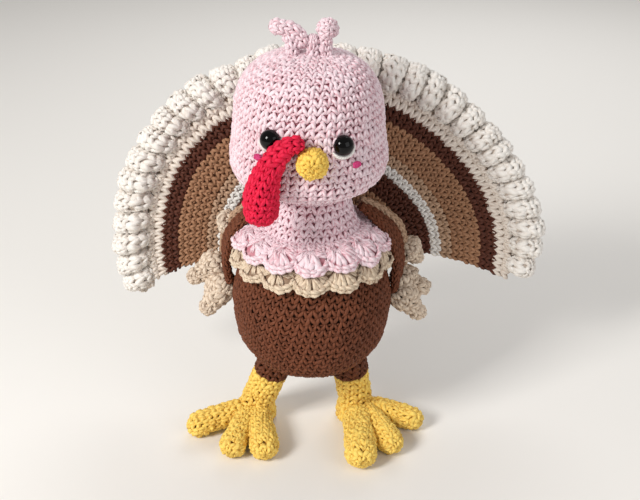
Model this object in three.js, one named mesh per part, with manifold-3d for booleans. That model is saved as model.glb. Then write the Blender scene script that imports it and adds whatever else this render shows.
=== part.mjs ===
// A crocheted turkey: stuffed head and body, striped fan tail, wings, snood and big three-toed feet.
// Millimetres, +Z up, the floor at zero. The turkey looks along -Y.
// Left and right are as seen from the front, so left lies on the -X side.

import * as THREE from 'three';
import { mergeVertices } from 'three/addons/utils/BufferGeometryUtils.js';
import Module from 'manifold-3d';

const wasm = await Module();
wasm.setup();

// Yarn, fabric and fits
const fabricWall = 2.6;
const seamGap = 0.3;
const mergeTolerance = 0.0001;
const cutOverrun = 20;
const profileFineness = 4;
const tubeCapSteps = 2;
const tubeCapLimitShare = 0.49;

// Torso: egg-shaped brown belly running up into the pink neck
const bellyRadius = 44.8;
const bellyBottom = 43.6;
const bellyHeight = 82.4;
const neckHeight = 34.7;
const torsoHeight = bellyHeight + neckHeight;
const torsoTop = bellyBottom + torsoHeight;
const colourChangeHeight = bellyBottom + bellyHeight;
const torsoSides = 22;
const torsoSteps = 15;
// Each row: share of the belly radius, share of the torso height
const torsoShares = [
  [0, 0],
  [0.31, 0.008],
  [0.578, 0.038],
  [0.789, 0.1],
  [0.933, 0.197],
  [1, 0.333],
  [0.991, 0.435],
  [0.929, 0.536],
  [0.827, 0.63],
  [0.7, 0.714],
  [0.578, 0.791],
  [0.496, 0.867],
  [0.465, 0.918],
  [0.455, 1],
];

// Head: a rounded box of yarn, widest low down
const headRadius = 42;
const headHeight = 72.8;
const headSeatDepth = 3.2;
const headBottom = torsoTop - headSeatDepth;
const headOffsetX = -1.2;
const headWidestShare = 0.23;
const headOpeningRadius = 18;
const headSides = 22;
const headSteps = 15;
// Each row: share of the head radius, share of the head height
const headShares = [
  [0, 0],
  [0.45, 0.002],
  [0.76, 0.025],
  [0.92, 0.085],
  [0.995, 0.18],
  [0.997, 0.28],
  [0.972, 0.42],
  [0.943, 0.58],
  [0.89, 0.74],
  [0.785, 0.86],
  [0.59, 0.945],
  [0.3, 0.992],
  [0, 1],
];

// Face: safety eyes, white crescents, cheeks and beak, each at its rise above the head's bottom
const faceTurn = THREE.MathUtils.degToRad(-1);
const faceRoll = THREE.MathUtils.degToRad(4);
const eyeAzimuth = THREE.MathUtils.degToRad(26);
const eyeRise = 37.3;
const eyeRadius = 5;
const eyeDome = 4.2;
const eyeRim = 0.6;
const eyeShankRadius = 2;
const eyeShankLength = 11;
const eyeSides = 14;
const eyeDomeSteps = 4;
const washerRadius = 6;
const washerThickness = 1.4;
const whiteStrandRadius = 0.9;
const whiteStart = THREE.MathUtils.degToRad(190);
const whiteEndUnderSnood = THREE.MathUtils.degToRad(255);
const whiteEndOpen = THREE.MathUtils.degToRad(335);
const whiteSteps = 5;
const whiteSides = 6;
const cheekAzimuth = THREE.MathUtils.degToRad(36);
const cheekRise = 26.3;
const cheekWidth = 4.6;
const cheekTall = 3.6;
const cheekThickness = 1.4;
const cheekSides = 10;
const beakAzimuth = THREE.MathUtils.degToRad(3.5);
const beakRise = 28.7;
const beakRadius = 7.8;
const beakSinkShare = 0.28;
const beakSides = 14;

// Snood: a limp red tube hinged on its sewn root beside the beak
const snoodRootRise = 39.1;
const snoodReach = 23;
const snoodDrop = 43;
const snoodRadius = 8.8;
const snoodClearance = 0.5;
const snoodSides = 12;
const snoodSteps = 9;
// Each row: shares of its reach to the left, of its drop and of its radius
const snoodShares = [
  [0.045, 0, 0.49],
  [0.235, 0, 0.5],
  [0.425, 0.037, 0.545],
  [0.635, 0.153, 0.65],
  [0.815, 0.316, 0.795],
  [0.94, 0.502, 0.93],
  [1, 0.712, 1],
  [0.983, 1, 0.966],
];

// Tuft of curls on the crown
const tuftReach = 19.6;
const tuftHeight = 14.6;
const tuftForward = 3;
const tuftStrandRadius = 3.3;
const tuftSwell = 0.7;
const tuftSides = 8;
const tuftSteps = 4;
const rightCurlRadius = 5.4;
// Each row: shares of the tuft's sideways reach and of its height above the crown
const leftCurlShares = [
  [-0.05, 0.24],
  [-0.28, 0.65],
  [-0.56, 0.865],
  [-1, 1],
];
const leftLobeShares = [
  [-0.39, -0.2],
  [-0.44, 0.34],
  [-0.59, 0.85],
];
const middleNubShares = [
  [0.133, -0.2],
  [0.112, 0.67],
];
const rightStemShares = [
  [0.47, -0.24],
  [0.44, 0.48],
  [0.49, 0.89],
];
const rightCurlShares = [0.5, 0.877];

// Collars: two rows of shell stitches hanging from the chest
const collarThickness = 2.2;
const collarScallops = 14;
const collarStepsEach = 4;
const scallopNotchShare = 0.4;
const collarPhase = Math.PI / 2;
const collarPuff = 0.8;
// Each row: share of the way to the rim, and share of the way from the lower face to the upper
const collarSectionShares = [
  [0, 1],
  [0.6, 1],
  [1, 0.8],
  [1, 0.2],
  [0.6, 0],
  [0, 0],
];
const pinkSeamAbove = 4.5;
const pinkCollarTop = colourChangeHeight + pinkSeamAbove;
const pinkCollarRimRadius = 43;
const pinkCollarDrop = 8.6;
const beigeSeamBelow = 5.5;
const beigeCollarTop = colourChangeHeight - beigeSeamBelow;
const beigeCollarRimRadius = 44.4;
const beigeCollarDrop = 9.5;

// Wings: folded leaves that hang from the shoulders
const wingThickness = 4.6;
const wingSeamBelowNeckTop = 17.5;
const wingHingeHeight = torsoTop - wingSeamBelowNeckTop;
const wingHingeDepth = 1;
const wingReach = 21.5;
const leftWingDrop = 49;
const rightWingDrop = 55;
const wingWidth = 17;
const wingRimWidth = 8;
const wingFront = 3;
const leftWingFlare = THREE.MathUtils.degToRad(11);
const rightWingFlare = THREE.MathUtils.degToRad(20);
const flareRiseShare = 0.4;
const wingSteps = 7;
const wingSectionSides = 8;
const wingCapTurns = [Math.PI / 6, Math.PI / 3];
// Each row: shares of the wing's reach outward, of its drop and of its brown leaf's width
const wingShares = [
  [0, 0, 0.47],
  [0.32, 0.1, 0.706],
  [0.63, 0.24, 0.882],
  [0.88, 0.43, 1],
  [1, 0.65, 0.94],
  [1, 0.84, 0.706],
  [0.95, 1, 0.412],
];

// Feathers: short fat fingers with a knob, along the free edge of each wing
const featherRadius = 7.9;
const featherReach = 16;
const featherRadiusShares = [0.76, 1, 0.9, 0.54, 0.62];
const featherSides = 8;
const featherSteps = 6;
// Each feather: share of the way down the wing, then shares of its reach
// outward, back and down, first to its bend and then to its knob
const leftFeatherShares = [
  { startShare: 0.42, bendShares: [0.12, 0.1, 0.12], knobShares: [0.3, 0.1, 0.5] },
  { startShare: 0.8, bendShares: [0.6, -0.05, 0.42], knobShares: [1.32, -0.2, 0.8] },
  { startShare: 0.97, bendShares: [0.42, -0.25, 0.7], knobShares: [0.88, -0.5, 1.32] },
];
const rightFeatherShares = [
  { startShare: 0.62, bendShares: [0.25, 0.125, 0.31], knobShares: [0.625, 0.125, 0.69] },
  { startShare: 0.82, bendShares: [0.25, -0.125, 0.5], knobShares: [0.97, -0.25, 0.75] },
  { startShare: 0.97, bendShares: [0.36, -0.22, 0.61], knobShares: [0.88, -0.44, 1.2] },
];

// Fan tail: half a disc of crocheted rings, edged with a ruffle
const fanCentreX = 10.5;
const fanRise = 48.9;
const fanCentreHeight = bellyBottom + fanRise;
const fanThickness = 3.2;
const fanCup = 5;
const fanEyeRadius = 1.5;
const fanStepsRound = 24;
const fanCoreRadius = 49;
const innerBrownWidth = 13.5;
const whiteRingWidth = 6;
const tanRingWidth = 24.5;
const outerBrownWidth = 10.5;
const creamRingWidth = 8;
const ruffleWidth = 17.5;
const fanLopShare = 0.038;
const ruffleFolds = 31;
const ruffleStepsEach = 4;
const ruffleWave = 5;
const ruffleScallop = 3.5;
const ruffleThickness = 3.4;
const ruffleMiddleShare = 0.6;
const fanDroop = THREE.MathUtils.degToRad(12);
const ruffleDroopLeft = THREE.MathUtils.degToRad(15);
const ruffleDroopRight = THREE.MathUtils.degToRad(6);

// Legs and feet, with the widest toe at full radius
const legRadius = 9.9;
const cuffRadius = 10.3;
const cuffBelowBelly = 8.1;
const cuffBottom = bellyBottom - cuffBelowBelly;
const hipRise = 8.4;
const hipHeight = bellyBottom + hipRise;
const ankleHeight = 9.5;
const legSides = 14;
const legSteps = 2;
const footRadius = 12.5;
const footHeight = 15;
const footSteps = 6;
const toeRadius = 8.8;
const toeReach = 56.3;
const soleCut = 0.5;
const wireRadius = 1;
const wireIntoBelly = 22.4;
const wireTop = bellyBottom + wireIntoBelly;
const wireFootClearance = 4;
const wireSides = 8;
const toeSides = 10;
const toeSteps = 4;
const toeRootHeight = 9.5;
const toeKnuckleShare = 0.5;
const toeArchShare = 0.4;
const toeNeckShare = 0.9;
// Each row: share of the foot's radius, share of its height
const footShares = [
  [0, 0],
  [0.8, 0.02],
  [1, 0.3],
  [0.93, 0.6],
  [0.7, 0.88],
  [0, 1],
];
// Places of hips and ankles: shares of the belly's radius to the right and back.
// Each toe: its tip as shares of the longest toe's reach to the right and back
// from the ankle, and its share of the widest toe's radius.
const leftHipShares = [-0.42, -0.067];
const leftAnkleShares = [-0.781, 0.022];
const leftToeShares = {
  inner: { tipShares: [0.155, -0.82], radiusShare: 0.93 },
  middle: { tipShares: [-0.233, -0.776], radiusShare: 0.84 },
  outer: { tipShares: [-0.697, -0.371], radiusShare: 0.82 },
};
const rightHipShares = [0.465, -0.067];
const rightAnkleShares = [0.603, 0.067];
const rightToeShares = {
  inner: { tipShares: [0.026, -1], radiusShare: 1 },
  middle: { tipShares: [0.397, -0.741], radiusShare: 0.865 },
  outer: { tipShares: [0.705, -0.267], radiusShare: 0.785 },
};

// Colours of the yarns and plastics
const pinkYarn = 0xf0cdd2;
const rosePinkYarn = 0xe85f8c;
const brownYarn = 0x7a4c38;
const darkBrownYarn = 0x4c2721;
const tanYarn = 0xb9956f;
const creamYarn = 0xe4d8c8;
const beigeYarn = 0xd8c4a4;
const whiteYarn = 0xdcd6cd;
const yellowYarn = 0xf2cb50;
const redYarn = 0xcf1437;
const stuffingFibre = 0xf4f2ee;
const blackPlastic = 0x0a0a0c;
const palePlastic = 0xd9d9d6;
const zincWire = 0x9a9ea2;
const yarnRoughness = 0.85;
const plasticRoughness = 0.12;
const washerRoughness = 0.5;
const wireRoughness = 0.35;
const wireMetalness = 1;

const turkey = new THREE.Group();
turkey.name = 'turkey';

// Adds one named piece to a group, with a finish of its own
function addPiece(group, name, geometry, color, roughness = yarnRoughness, metalness = 0) {
  const finish = new THREE.MeshStandardMaterial({ color, roughness, metalness });
  const mesh = new THREE.Mesh(geometry, finish);
  mesh.name = name;
  group.add(mesh);
  return mesh;
}

// Keeps positions only, merges shared corners and drops the slivers at poles
function cleaned(geometry) {
  geometry.deleteAttribute('normal');
  geometry.deleteAttribute('uv');
  const merged = mergeVertices(geometry, mergeTolerance);
  const index = merged.index.array;
  const kept = [];
  for (let i = 0; i < index.length; i += 3) {
    const [a, b, c] = [index[i], index[i + 1], index[i + 2]];
    if (a !== b && b !== c && c !== a) {
      kept.push(a, b, c);
    }
  }
  merged.setIndex(kept);
  return merged;
}

function toSolid(geometry) {
  const clean = cleaned(geometry.clone());
  const mesh = new wasm.Mesh({
    numProp: 3,
    vertProperties: new Float32Array(clean.attributes.position.array),
    triVerts: new Uint32Array(clean.index.array),
  });
  return new wasm.Manifold(mesh);
}

function toGeometry(solid) {
  const mesh = solid.getMesh();
  const geometry = new THREE.BufferGeometry();
  geometry.setAttribute('position', new THREE.BufferAttribute(mesh.vertProperties, 3));
  geometry.setIndex(new THREE.BufferAttribute(mesh.triVerts, 1));
  return geometry;
}

// Cuts every listed geometry out of the first one
function carve(geometry, cutters) {
  let solid = toSolid(geometry);
  for (const cutter of cutters) {
    solid = solid.subtract(toSolid(cutter));
  }
  return toGeometry(solid);
}

function join(geometries) {
  let solid = toSolid(geometries[0]);
  for (const other of geometries.slice(1)) {
    solid = solid.add(toSolid(other));
  }
  return toGeometry(solid);
}

// Closed skin over equal rings of points, with a fan of triangles at each end
function loft(rings) {
  const positions = [];
  const index = [];
  const sides = rings[0].length;
  rings.forEach((ring) => ring.forEach((point) => positions.push(point.x, point.y, point.z)));
  for (let i = 0; i < rings.length - 1; i += 1) {
    for (let j = 0; j < sides; j += 1) {
      const a = i * sides + j;
      const b = i * sides + ((j + 1) % sides);
      index.push(a, b, b + sides, a, b + sides, a + sides);
    }
  }
  const last = rings.length - 1;
  for (const [ring, start, flip] of [[rings[0], 0, true], [rings[last], last * sides, false]]) {
    const middle = ring.reduce((sum, point) => sum.add(point), new THREE.Vector3()).divideScalar(sides);
    const centre = positions.length / 3;
    positions.push(middle.x, middle.y, middle.z);
    for (let j = 0; j < sides; j += 1) {
      const next = start + ((j + 1) % sides);
      index.push(...(flip ? [centre, next, start + j] : [centre, start + j, next]));
    }
  }
  const geometry = new THREE.BufferGeometry();
  geometry.setAttribute('position', new THREE.Float32BufferAttribute(positions, 3));
  geometry.setIndex(index);
  return geometry;
}

// Closed ring-shaped skin: the last section joins the first again
function loftRound(rings) {
  const positions = [];
  const index = [];
  const sides = rings[0].length;
  rings.forEach((ring) => ring.forEach((point) => positions.push(point.x, point.y, point.z)));
  for (let i = 0; i < rings.length; i += 1) {
    const next = (i + 1) % rings.length;
    for (let j = 0; j < sides; j += 1) {
      const k = (j + 1) % sides;
      index.push(i * sides + j, i * sides + k, next * sides + k);
      index.push(i * sides + j, next * sides + k, next * sides + j);
    }
  }
  const geometry = new THREE.BufferGeometry();
  geometry.setAttribute('position', new THREE.Float32BufferAttribute(positions, 3));
  geometry.setIndex(index);
  return geometry;
}

// Tube along a curve whose radius follows the route and whose ends are round.
// The across vector is never parallel to the curve.
function roundedTube(points, radii, across, sides, steps) {
  const curve = new THREE.CatmullRomCurve3(points);
  const length = curve.getLength();
  const radiusAt = (u) => {
    const place = u * (radii.length - 1);
    const row = Math.min(Math.floor(place), radii.length - 2);
    return THREE.MathUtils.lerp(radii[row], radii[row + 1], place - row);
  };
  const capShare = (radius) => Math.min(radius / length, tubeCapLimitShare);
  const startCap = capShare(radii[0]);
  const endCap = capShare(radii[radii.length - 1]);
  const stations = [];
  for (let i = 1; i <= tubeCapSteps; i += 1) {
    const turn = (i / tubeCapSteps) * (Math.PI / 2);
    stations.push([startCap * (1 - Math.cos(turn)), Math.sin(turn)]);
  }
  for (let i = 1; i < steps; i += 1) {
    stations.push([THREE.MathUtils.lerp(startCap, 1 - endCap, i / steps), 1]);
  }
  for (let i = tubeCapSteps; i >= 1; i -= 1) {
    const turn = (i / tubeCapSteps) * (Math.PI / 2);
    stations.push([1 - endCap * (1 - Math.cos(turn)), Math.sin(turn)]);
  }
  const rings = stations.map(([u, share]) => {
    const centre = curve.getPointAt(u);
    const tangent = curve.getTangentAt(u);
    const second = new THREE.Vector3().crossVectors(tangent, across).normalize();
    const first = new THREE.Vector3().crossVectors(second, tangent);
    const radius = radiusAt(u) * share;
    const ring = [];
    for (let j = 0; j < sides; j += 1) {
      const turn = (j / sides) * Math.PI * 2;
      const point = centre.clone();
      point.addScaledVector(first, radius * Math.cos(turn));
      point.addScaledVector(second, radius * Math.sin(turn));
      ring.push(point);
    }
    return ring;
  });
  return loft(rings);
}

// Smooth profile through rows of shares, offset outward by grow; it starts and ends on the axis
function profileThrough(shares, radius, bottom, height, steps, grow) {
  const points = shares.map(([r, h]) => new THREE.Vector2(r * radius, bottom + h * height));
  const curve = new THREE.SplineCurve(points);
  const profile = [];
  for (let i = 0; i <= steps; i += 1) {
    const point = curve.getPointAt(i / steps);
    const tangent = curve.getTangentAt(i / steps);
    point.x = Math.max(point.x + tangent.y * grow, 0);
    point.y -= tangent.x * grow;
    if (i === 0 || i === steps) {
      point.x = 0;
    }
    profile.push(point);
  }
  return profile;
}

function revolve(profile, sides) {
  const geometry = new THREE.LatheGeometry(profile, sides);
  geometry.rotateX(Math.PI / 2);
  return cleaned(geometry);
}

function torsoForm(grow) {
  const profile = profileThrough(torsoShares, bellyRadius, bellyBottom, torsoHeight, torsoSteps, grow);
  const end = profile[profile.length - 1];
  const beforeEnd = profile[profile.length - 2];
  end.set(beforeEnd.x, torsoTop + grow);
  profile.push(new THREE.Vector2(0, torsoTop + grow));
  return revolve(profile, torsoSides);
}

function headForm(grow) {
  const profile = profileThrough(headShares, headRadius, headBottom, headHeight, headSteps, grow);
  return revolve(profile, headSides);
}

// Block that reaches well past the figure between two heights
function slab(low, high) {
  const reach = bellyRadius * 2 + cutOverrun;
  const block = new THREE.BoxGeometry(reach * 2, reach * 2, high - low);
  block.translate(0, 0, (low + high) / 2);
  return block;
}

// Radius of the head's outside at a height, read from its smooth profile
function headRadiusAt(height) {
  const steps = headSteps * profileFineness;
  const profile = profileThrough(headShares, headRadius, headBottom, headHeight, steps, 0);
  for (let i = 1; i < profile.length; i += 1) {
    if (profile[i].y >= height) {
      const low = profile[i - 1];
      const share = (height - low.y) / Math.max(profile[i].y - low.y, mergeTolerance);
      return THREE.MathUtils.lerp(low.x, profile[i].x, share);
    }
  }
  return 0;
}

// Point on the head at an azimuth from straight ahead and a height, lifted off the yarn
function onHead(azimuth, height, lift) {
  const radius = headRadiusAt(height) + lift;
  return new THREE.Vector3(radius * Math.sin(azimuth), -radius * Math.cos(azimuth), height);
}

// Direction straight out of the head's skin
function outOfHead(azimuth, height) {
  const slope = headRadiusAt(height + fabricWall) - headRadiusAt(height - fabricWall);
  const lean = Math.atan2(-slope, fabricWall * 2);
  const level = Math.cos(lean);
  return new THREE.Vector3(level * Math.sin(azimuth), -level * Math.cos(azimuth), Math.sin(lean));
}

// Turns and places a geometry made along +Z so that +Z points straight out of the head
function seatOnHead(geometry, azimuth, height, lift) {
  const outward = outOfHead(azimuth, height);
  const turn = new THREE.Quaternion().setFromUnitVectors(new THREE.Vector3(0, 0, 1), outward);
  const place = onHead(azimuth, height, lift);
  const matrix = new THREE.Matrix4().compose(place, turn, new THREE.Vector3(1, 1, 1));
  return geometry.applyMatrix4(matrix);
}

function disc(radius, low, high, sides) {
  const cylinder = new THREE.CylinderGeometry(radius, radius, high - low, sides);
  cylinder.rotateX(Math.PI / 2);
  cylinder.translate(0, 0, (low + high) / 2);
  return cylinder;
}

// Head, its filling and what is sewn to it
const head = new THREE.Group();
head.position.x = headOffsetX;
head.rotation.z = faceTurn;
turkey.add(head);

const faceSides = [
  { name: 'left', sign: -1, whiteEnd: whiteEndUnderSnood },
  { name: 'right', sign: 1, whiteEnd: whiteEndOpen },
];

// The face is rolled a little, so each feature sits lower the further right it is
function faceHeight(height, azimuth) {
  return height - headRadius * Math.sin(azimuth) * Math.tan(faceRoll);
}

const washerSag = (washerRadius * washerRadius) / (headRadius * 2);
const facetSag = headRadius * (1 - Math.cos(Math.PI / headSides));
const washerTop = -(fabricWall + seamGap + washerSag + facetSag);
const shankHoles = [];
const stuffingPockets = [];

for (const { name, sign, whiteEnd } of faceSides) {
  const azimuth = sign * eyeAzimuth;
  const height = faceHeight(headBottom + eyeRise, azimuth);
  const eyeProfile = [
    new THREE.Vector2(0, seamGap - eyeShankLength),
    new THREE.Vector2(eyeShankRadius, seamGap - eyeShankLength),
    new THREE.Vector2(eyeShankRadius, seamGap),
    new THREE.Vector2(eyeRadius, seamGap),
  ];
  for (let i = 0; i <= eyeDomeSteps; i += 1) {
    const turn = (i / eyeDomeSteps) * (Math.PI / 2);
    const across = i === eyeDomeSteps ? 0 : eyeRadius * Math.cos(turn);
    eyeProfile.push(new THREE.Vector2(across, seamGap + eyeRim + eyeDome * Math.sin(turn)));
  }
  const eye = seatOnHead(revolve(eyeProfile, eyeSides), azimuth, height, 0);
  addPiece(head, `${name}_eye`, eye, blackPlastic, plasticRoughness);

  const holeRadius = eyeShankRadius + seamGap;
  const washerHole = disc(holeRadius, washerTop - cutOverrun, washerTop + cutOverrun, eyeSides);
  const washerDisc = disc(washerRadius, washerTop - washerThickness, washerTop, eyeSides);
  const washer = seatOnHead(carve(washerDisc, [washerHole]), azimuth, height, 0);
  addPiece(head, `${name}_eye_washer`, washer, palePlastic, washerRoughness);

  const shankHole = disc(holeRadius, -eyeShankLength, seamGap * 2, eyeSides);
  shankHoles.push(seatOnHead(shankHole, azimuth, height, 0));
  const washerPocket = disc(washerRadius + seamGap, washerTop - washerThickness - seamGap, 0, eyeSides);
  stuffingPockets.push(seatOnHead(washerPocket, azimuth, height, 0));
  const shankPocket = disc(holeRadius, -eyeShankLength, 0, eyeSides);
  stuffingPockets.push(seatOnHead(shankPocket, azimuth, height, 0));

  const whiteReach = eyeRadius + seamGap + whiteStrandRadius;
  const whitePoints = [];
  for (let i = 0; i <= whiteSteps; i += 1) {
    const turn = THREE.MathUtils.lerp(whiteStart, whiteEnd, i / whiteSteps);
    const sideways = -sign * whiteReach * Math.cos(turn);
    const up = whiteReach * Math.sin(turn);
    const bend = sideways / headRadiusAt(height);
    whitePoints.push(onHead(azimuth + bend, height + up, whiteStrandRadius + seamGap));
  }
  const ahead = new THREE.Vector3(Math.sin(azimuth), -Math.cos(azimuth), 0);
  const whiteRadii = [whiteStrandRadius, whiteStrandRadius];
  const white = roundedTube(whitePoints, whiteRadii, ahead, whiteSides, whiteSteps);
  addPiece(head, `${name}_eye_white`, white, whiteYarn);

  const cheekTurn = sign * cheekAzimuth;
  const cheek = new THREE.SphereGeometry(1, cheekSides, cheekSides / 2);
  cheek.scale(cheekWidth / 2, cheekTall / 2, cheekThickness / 2);
  const cheekLift = seamGap * 2 + cheekThickness / 2;
  seatOnHead(cheek, cheekTurn, faceHeight(headBottom + cheekRise, cheekTurn), cheekLift);
  addPiece(head, `${name}_cheek`, cleaned(cheek), rosePinkYarn);
}

const openingTop = headBottom + fabricWall * 2;
const headOpening = disc(headOpeningRadius, headBottom - cutOverrun, openingTop, headSides);
const headShell = carve(headForm(0), [headForm(-fabricWall), headOpening, ...shankHoles]);
addPiece(head, 'head_shell', headShell, pinkYarn);

const stuffingPlug = disc(headOpeningRadius - seamGap, headBottom, openingTop, headSides);
const headFilling = join([headForm(-fabricWall - seamGap), stuffingPlug]);
addPiece(head, 'head_stuffing', carve(headFilling, stuffingPockets), stuffingFibre);

const beakBall = new THREE.SphereGeometry(beakRadius, beakSides, beakSides / 2);
const beakLift = beakRadius * (1 - beakSinkShare * 2);
beakBall.translate(...onHead(beakAzimuth, headBottom + beakRise, beakLift).toArray());
addPiece(head, 'beak', carve(beakBall, [headForm(seamGap)]), yellowYarn);

// The snood lies against the face and hangs straight down below its widest place
const headWidestHeight = headBottom + headHeight * headWidestShare;
const snoodPoints = snoodShares.map(([sidewaysShare, dropShare, radiusShare]) => {
  const sideways = -sidewaysShare * snoodReach;
  const height = headBottom + snoodRootRise - dropShare * snoodDrop;
  const skin = headRadiusAt(Math.max(height, headWidestHeight));
  const reach = skin + radiusShare * snoodRadius + snoodClearance;
  return new THREE.Vector3(sideways, -Math.sqrt(reach * reach - sideways * sideways), height);
});
const snoodRadii = snoodShares.map((row) => row[2] * snoodRadius);
const snoodAcross = new THREE.Vector3(0, 1, 0);
const snood = roundedTube(snoodPoints, snoodRadii, snoodAcross, snoodSides, snoodSteps);
addPiece(head, 'snood', snood, redYarn);

// Curls of the tuft stand on the crown
const crownHeight = headBottom + headHeight;
const tuftAcross = new THREE.Vector3(0, 1, 0);

function tuftPoint([sidewaysShare, heightShare]) {
  const height = crownHeight + heightShare * tuftHeight;
  return new THREE.Vector3(sidewaysShare * tuftReach, -tuftForward, height);
}

function tuftStrand(routeShares, radius) {
  return roundedTube(routeShares.map(tuftPoint), [radius, radius], tuftAcross, tuftSides, tuftSteps);
}

const crownForm = headForm(seamGap);
const middleNub = tuftStrand(middleNubShares, tuftStrandRadius);
addPiece(head, 'tuft_middle', carve(middleNub, [crownForm]), pinkYarn);
const middleGrown = tuftStrand(middleNubShares, tuftStrandRadius + seamGap);
const leftBar = tuftStrand(leftCurlShares, tuftStrandRadius + tuftSwell);
const leftCurl = join([leftBar, tuftStrand(leftLobeShares, tuftStrandRadius)]);
addPiece(head, 'tuft_left', carve(leftCurl, [crownForm, middleGrown]), pinkYarn);
const rightBall = new THREE.SphereGeometry(1, tuftSides * 2, tuftSides);
rightBall.scale(rightCurlRadius, tuftStrandRadius + tuftSwell, rightCurlRadius);
rightBall.translate(...tuftPoint(rightCurlShares).toArray());
const rightCurl = join([rightBall, tuftStrand(rightStemShares, tuftStrandRadius)]);
addPiece(head, 'tuft_right', carve(rightCurl, [crownForm, middleGrown]), pinkYarn);

// Legs: a wire core runs from each foot into the belly
const legs = [
  {
    name: 'left',
    hipShares: leftHipShares,
    ankleShares: leftAnkleShares,
    toeShares: leftToeShares,
  },
  {
    name: 'right',
    hipShares: rightHipShares,
    ankleShares: rightAnkleShares,
    toeShares: rightToeShares,
  },
];

function ankleOf(leg) {
  const [right, back] = leg.ankleShares;
  return new THREE.Vector3(right * bellyRadius, back * bellyRadius, ankleHeight);
}

function legLine(leg, height) {
  const [right, back] = leg.hipShares;
  const hip = new THREE.Vector3(right * bellyRadius, back * bellyRadius, hipHeight);
  const share = (height - ankleHeight) / (hipHeight - ankleHeight);
  return ankleOf(leg).lerp(hip, share);
}

function legTube(leg, radius) {
  const low = legLine(leg, ankleHeight - legRadius);
  const high = legLine(leg, hipHeight + cuffRadius);
  const points = [low, low.clone().lerp(high, 0.5), high];
  return roundedTube(points, [radius, radius], new THREE.Vector3(0, 1, 0), legSides, legSteps);
}

function wireForm(leg, radius, extra) {
  const low = legLine(leg, wireFootClearance);
  const high = legLine(leg, wireTop);
  const along = high.clone().sub(low);
  const rod = disc(radius, -extra, along.length() + extra, wireSides);
  const turn = new THREE.Quaternion().setFromUnitVectors(new THREE.Vector3(0, 0, 1), along.normalize());
  return rod.applyMatrix4(new THREE.Matrix4().compose(low, turn, new THREE.Vector3(1, 1, 1)));
}

function footForm(leg, grow) {
  const profile = profileThrough(footShares, footRadius, -soleCut, footHeight, footSteps, grow);
  const form = revolve(profile, legSides);
  const ankle = ankleOf(leg);
  form.translate(ankle.x, ankle.y, 0);
  return form;
}

function toeForm(leg, toe, grow) {
  const radius = toe.radiusShare * toeRadius;
  const root = ankleOf(leg).setZ(toeRootHeight);
  const [right, back] = toe.tipShares;
  const tip = new THREE.Vector3(root.x + right * toeReach, root.y + back * toeReach, radius - soleCut);
  const knuckle = root.clone().lerp(tip, toeKnuckleShare);
  knuckle.z = THREE.MathUtils.lerp(root.z, tip.z, toeArchShare);
  const radii = [radius * toeNeckShare + grow, radius + grow, radius + grow];
  return roundedTube([root, knuckle, tip], radii, new THREE.Vector3(0, 0, 1), toeSides, toeSteps);
}

const belowFloor = slab(-cutOverrun, 0);
const bellyForm = torsoForm(seamGap);
const wireBores = [];

for (const leg of legs) {
  const bore = wireForm(leg, wireRadius + seamGap, seamGap);
  wireBores.push(bore);
  const wire = cleaned(wireForm(leg, wireRadius, 0));
  addPiece(turkey, `${leg.name}_leg_wire`, wire, zincWire, wireRoughness, wireMetalness);

  const grownFoot = footForm(leg, seamGap);
  const aboveLeg = slab(cuffBottom - seamGap, wireTop + cutOverrun);
  const shank = carve(legTube(leg, legRadius), [grownFoot, aboveLeg, bore]);
  addPiece(turkey, `${leg.name}_leg`, shank, yellowYarn);
  const cuff = carve(legTube(leg, cuffRadius), [slab(-cutOverrun, cuffBottom), bellyForm, bore]);
  addPiece(turkey, `${leg.name}_leg_cuff`, cuff, darkBrownYarn);
  addPiece(turkey, `${leg.name}_foot`, carve(footForm(leg, 0), [belowFloor, bore]), yellowYarn);

  const cutters = [belowFloor, grownFoot, legTube(leg, legRadius + seamGap)];
  for (const [name, toe] of Object.entries(leg.toeShares)) {
    addPiece(turkey, `${leg.name}_toe_${name}`, carve(toeForm(leg, toe, 0), cutters), yellowYarn);
    cutters.push(toeForm(leg, toe, seamGap));
  }
}

// Belly and neck: one worked tube of fabric, brown below the colour change and pink above
const headCutter = headForm(seamGap);
headCutter.translate(headOffsetX, 0, 0);
const torsoInside = torsoForm(-fabricWall);
const aboveChange = slab(colourChangeHeight, torsoTop + cutOverrun);
const belowChange = slab(-cutOverrun, colourChangeHeight + seamGap);
const bellyShell = carve(torsoForm(0), [torsoInside, aboveChange, ...wireBores]);
addPiece(turkey, 'body_shell', bellyShell, brownYarn);
addPiece(turkey, 'neck', carve(torsoForm(0), [torsoInside, belowChange, headCutter]), pinkYarn);
const bodyFilling = carve(torsoForm(-fabricWall - seamGap), [headCutter, ...wireBores]);
addPiece(turkey, 'body_stuffing', bodyFilling, stuffingFibre);

// Collar: a skirt that widens and drops to a rim of rounded scallops
function collar(top, rimRadius, drop) {
  const sections = [];
  const stations = collarScallops * collarStepsEach;
  const inset = torsoRadiusAt(top) - fabricWall;
  for (let i = 0; i < stations; i += 1) {
    const azimuth = (i / stations) * Math.PI * 2;
    const bulge = Math.abs(Math.cos((azimuth * collarScallops) / 2 + collarPhase));
    const reach = 1 - scallopNotchShare * (1 - Math.sqrt(bulge));
    const section = [];
    for (const [share, side] of collarSectionShares) {
      const out = THREE.MathUtils.lerp(inset, rimRadius, share * reach);
      const puff = collarPuff * bulge * share;
      const height = top - drop * share * reach * share + side * (collarThickness + puff);
      section.push(new THREE.Vector3(out * Math.cos(azimuth), out * Math.sin(azimuth), height));
    }
    sections.push(section);
  }
  return carve(loftRound(sections), [bellyForm]);
}

addPiece(turkey, 'pink_collar', collar(pinkCollarTop, pinkCollarRimRadius, pinkCollarDrop), pinkYarn);
addPiece(turkey, 'beige_collar', collar(beigeCollarTop, beigeCollarRimRadius, beigeCollarDrop), beigeYarn);

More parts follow.
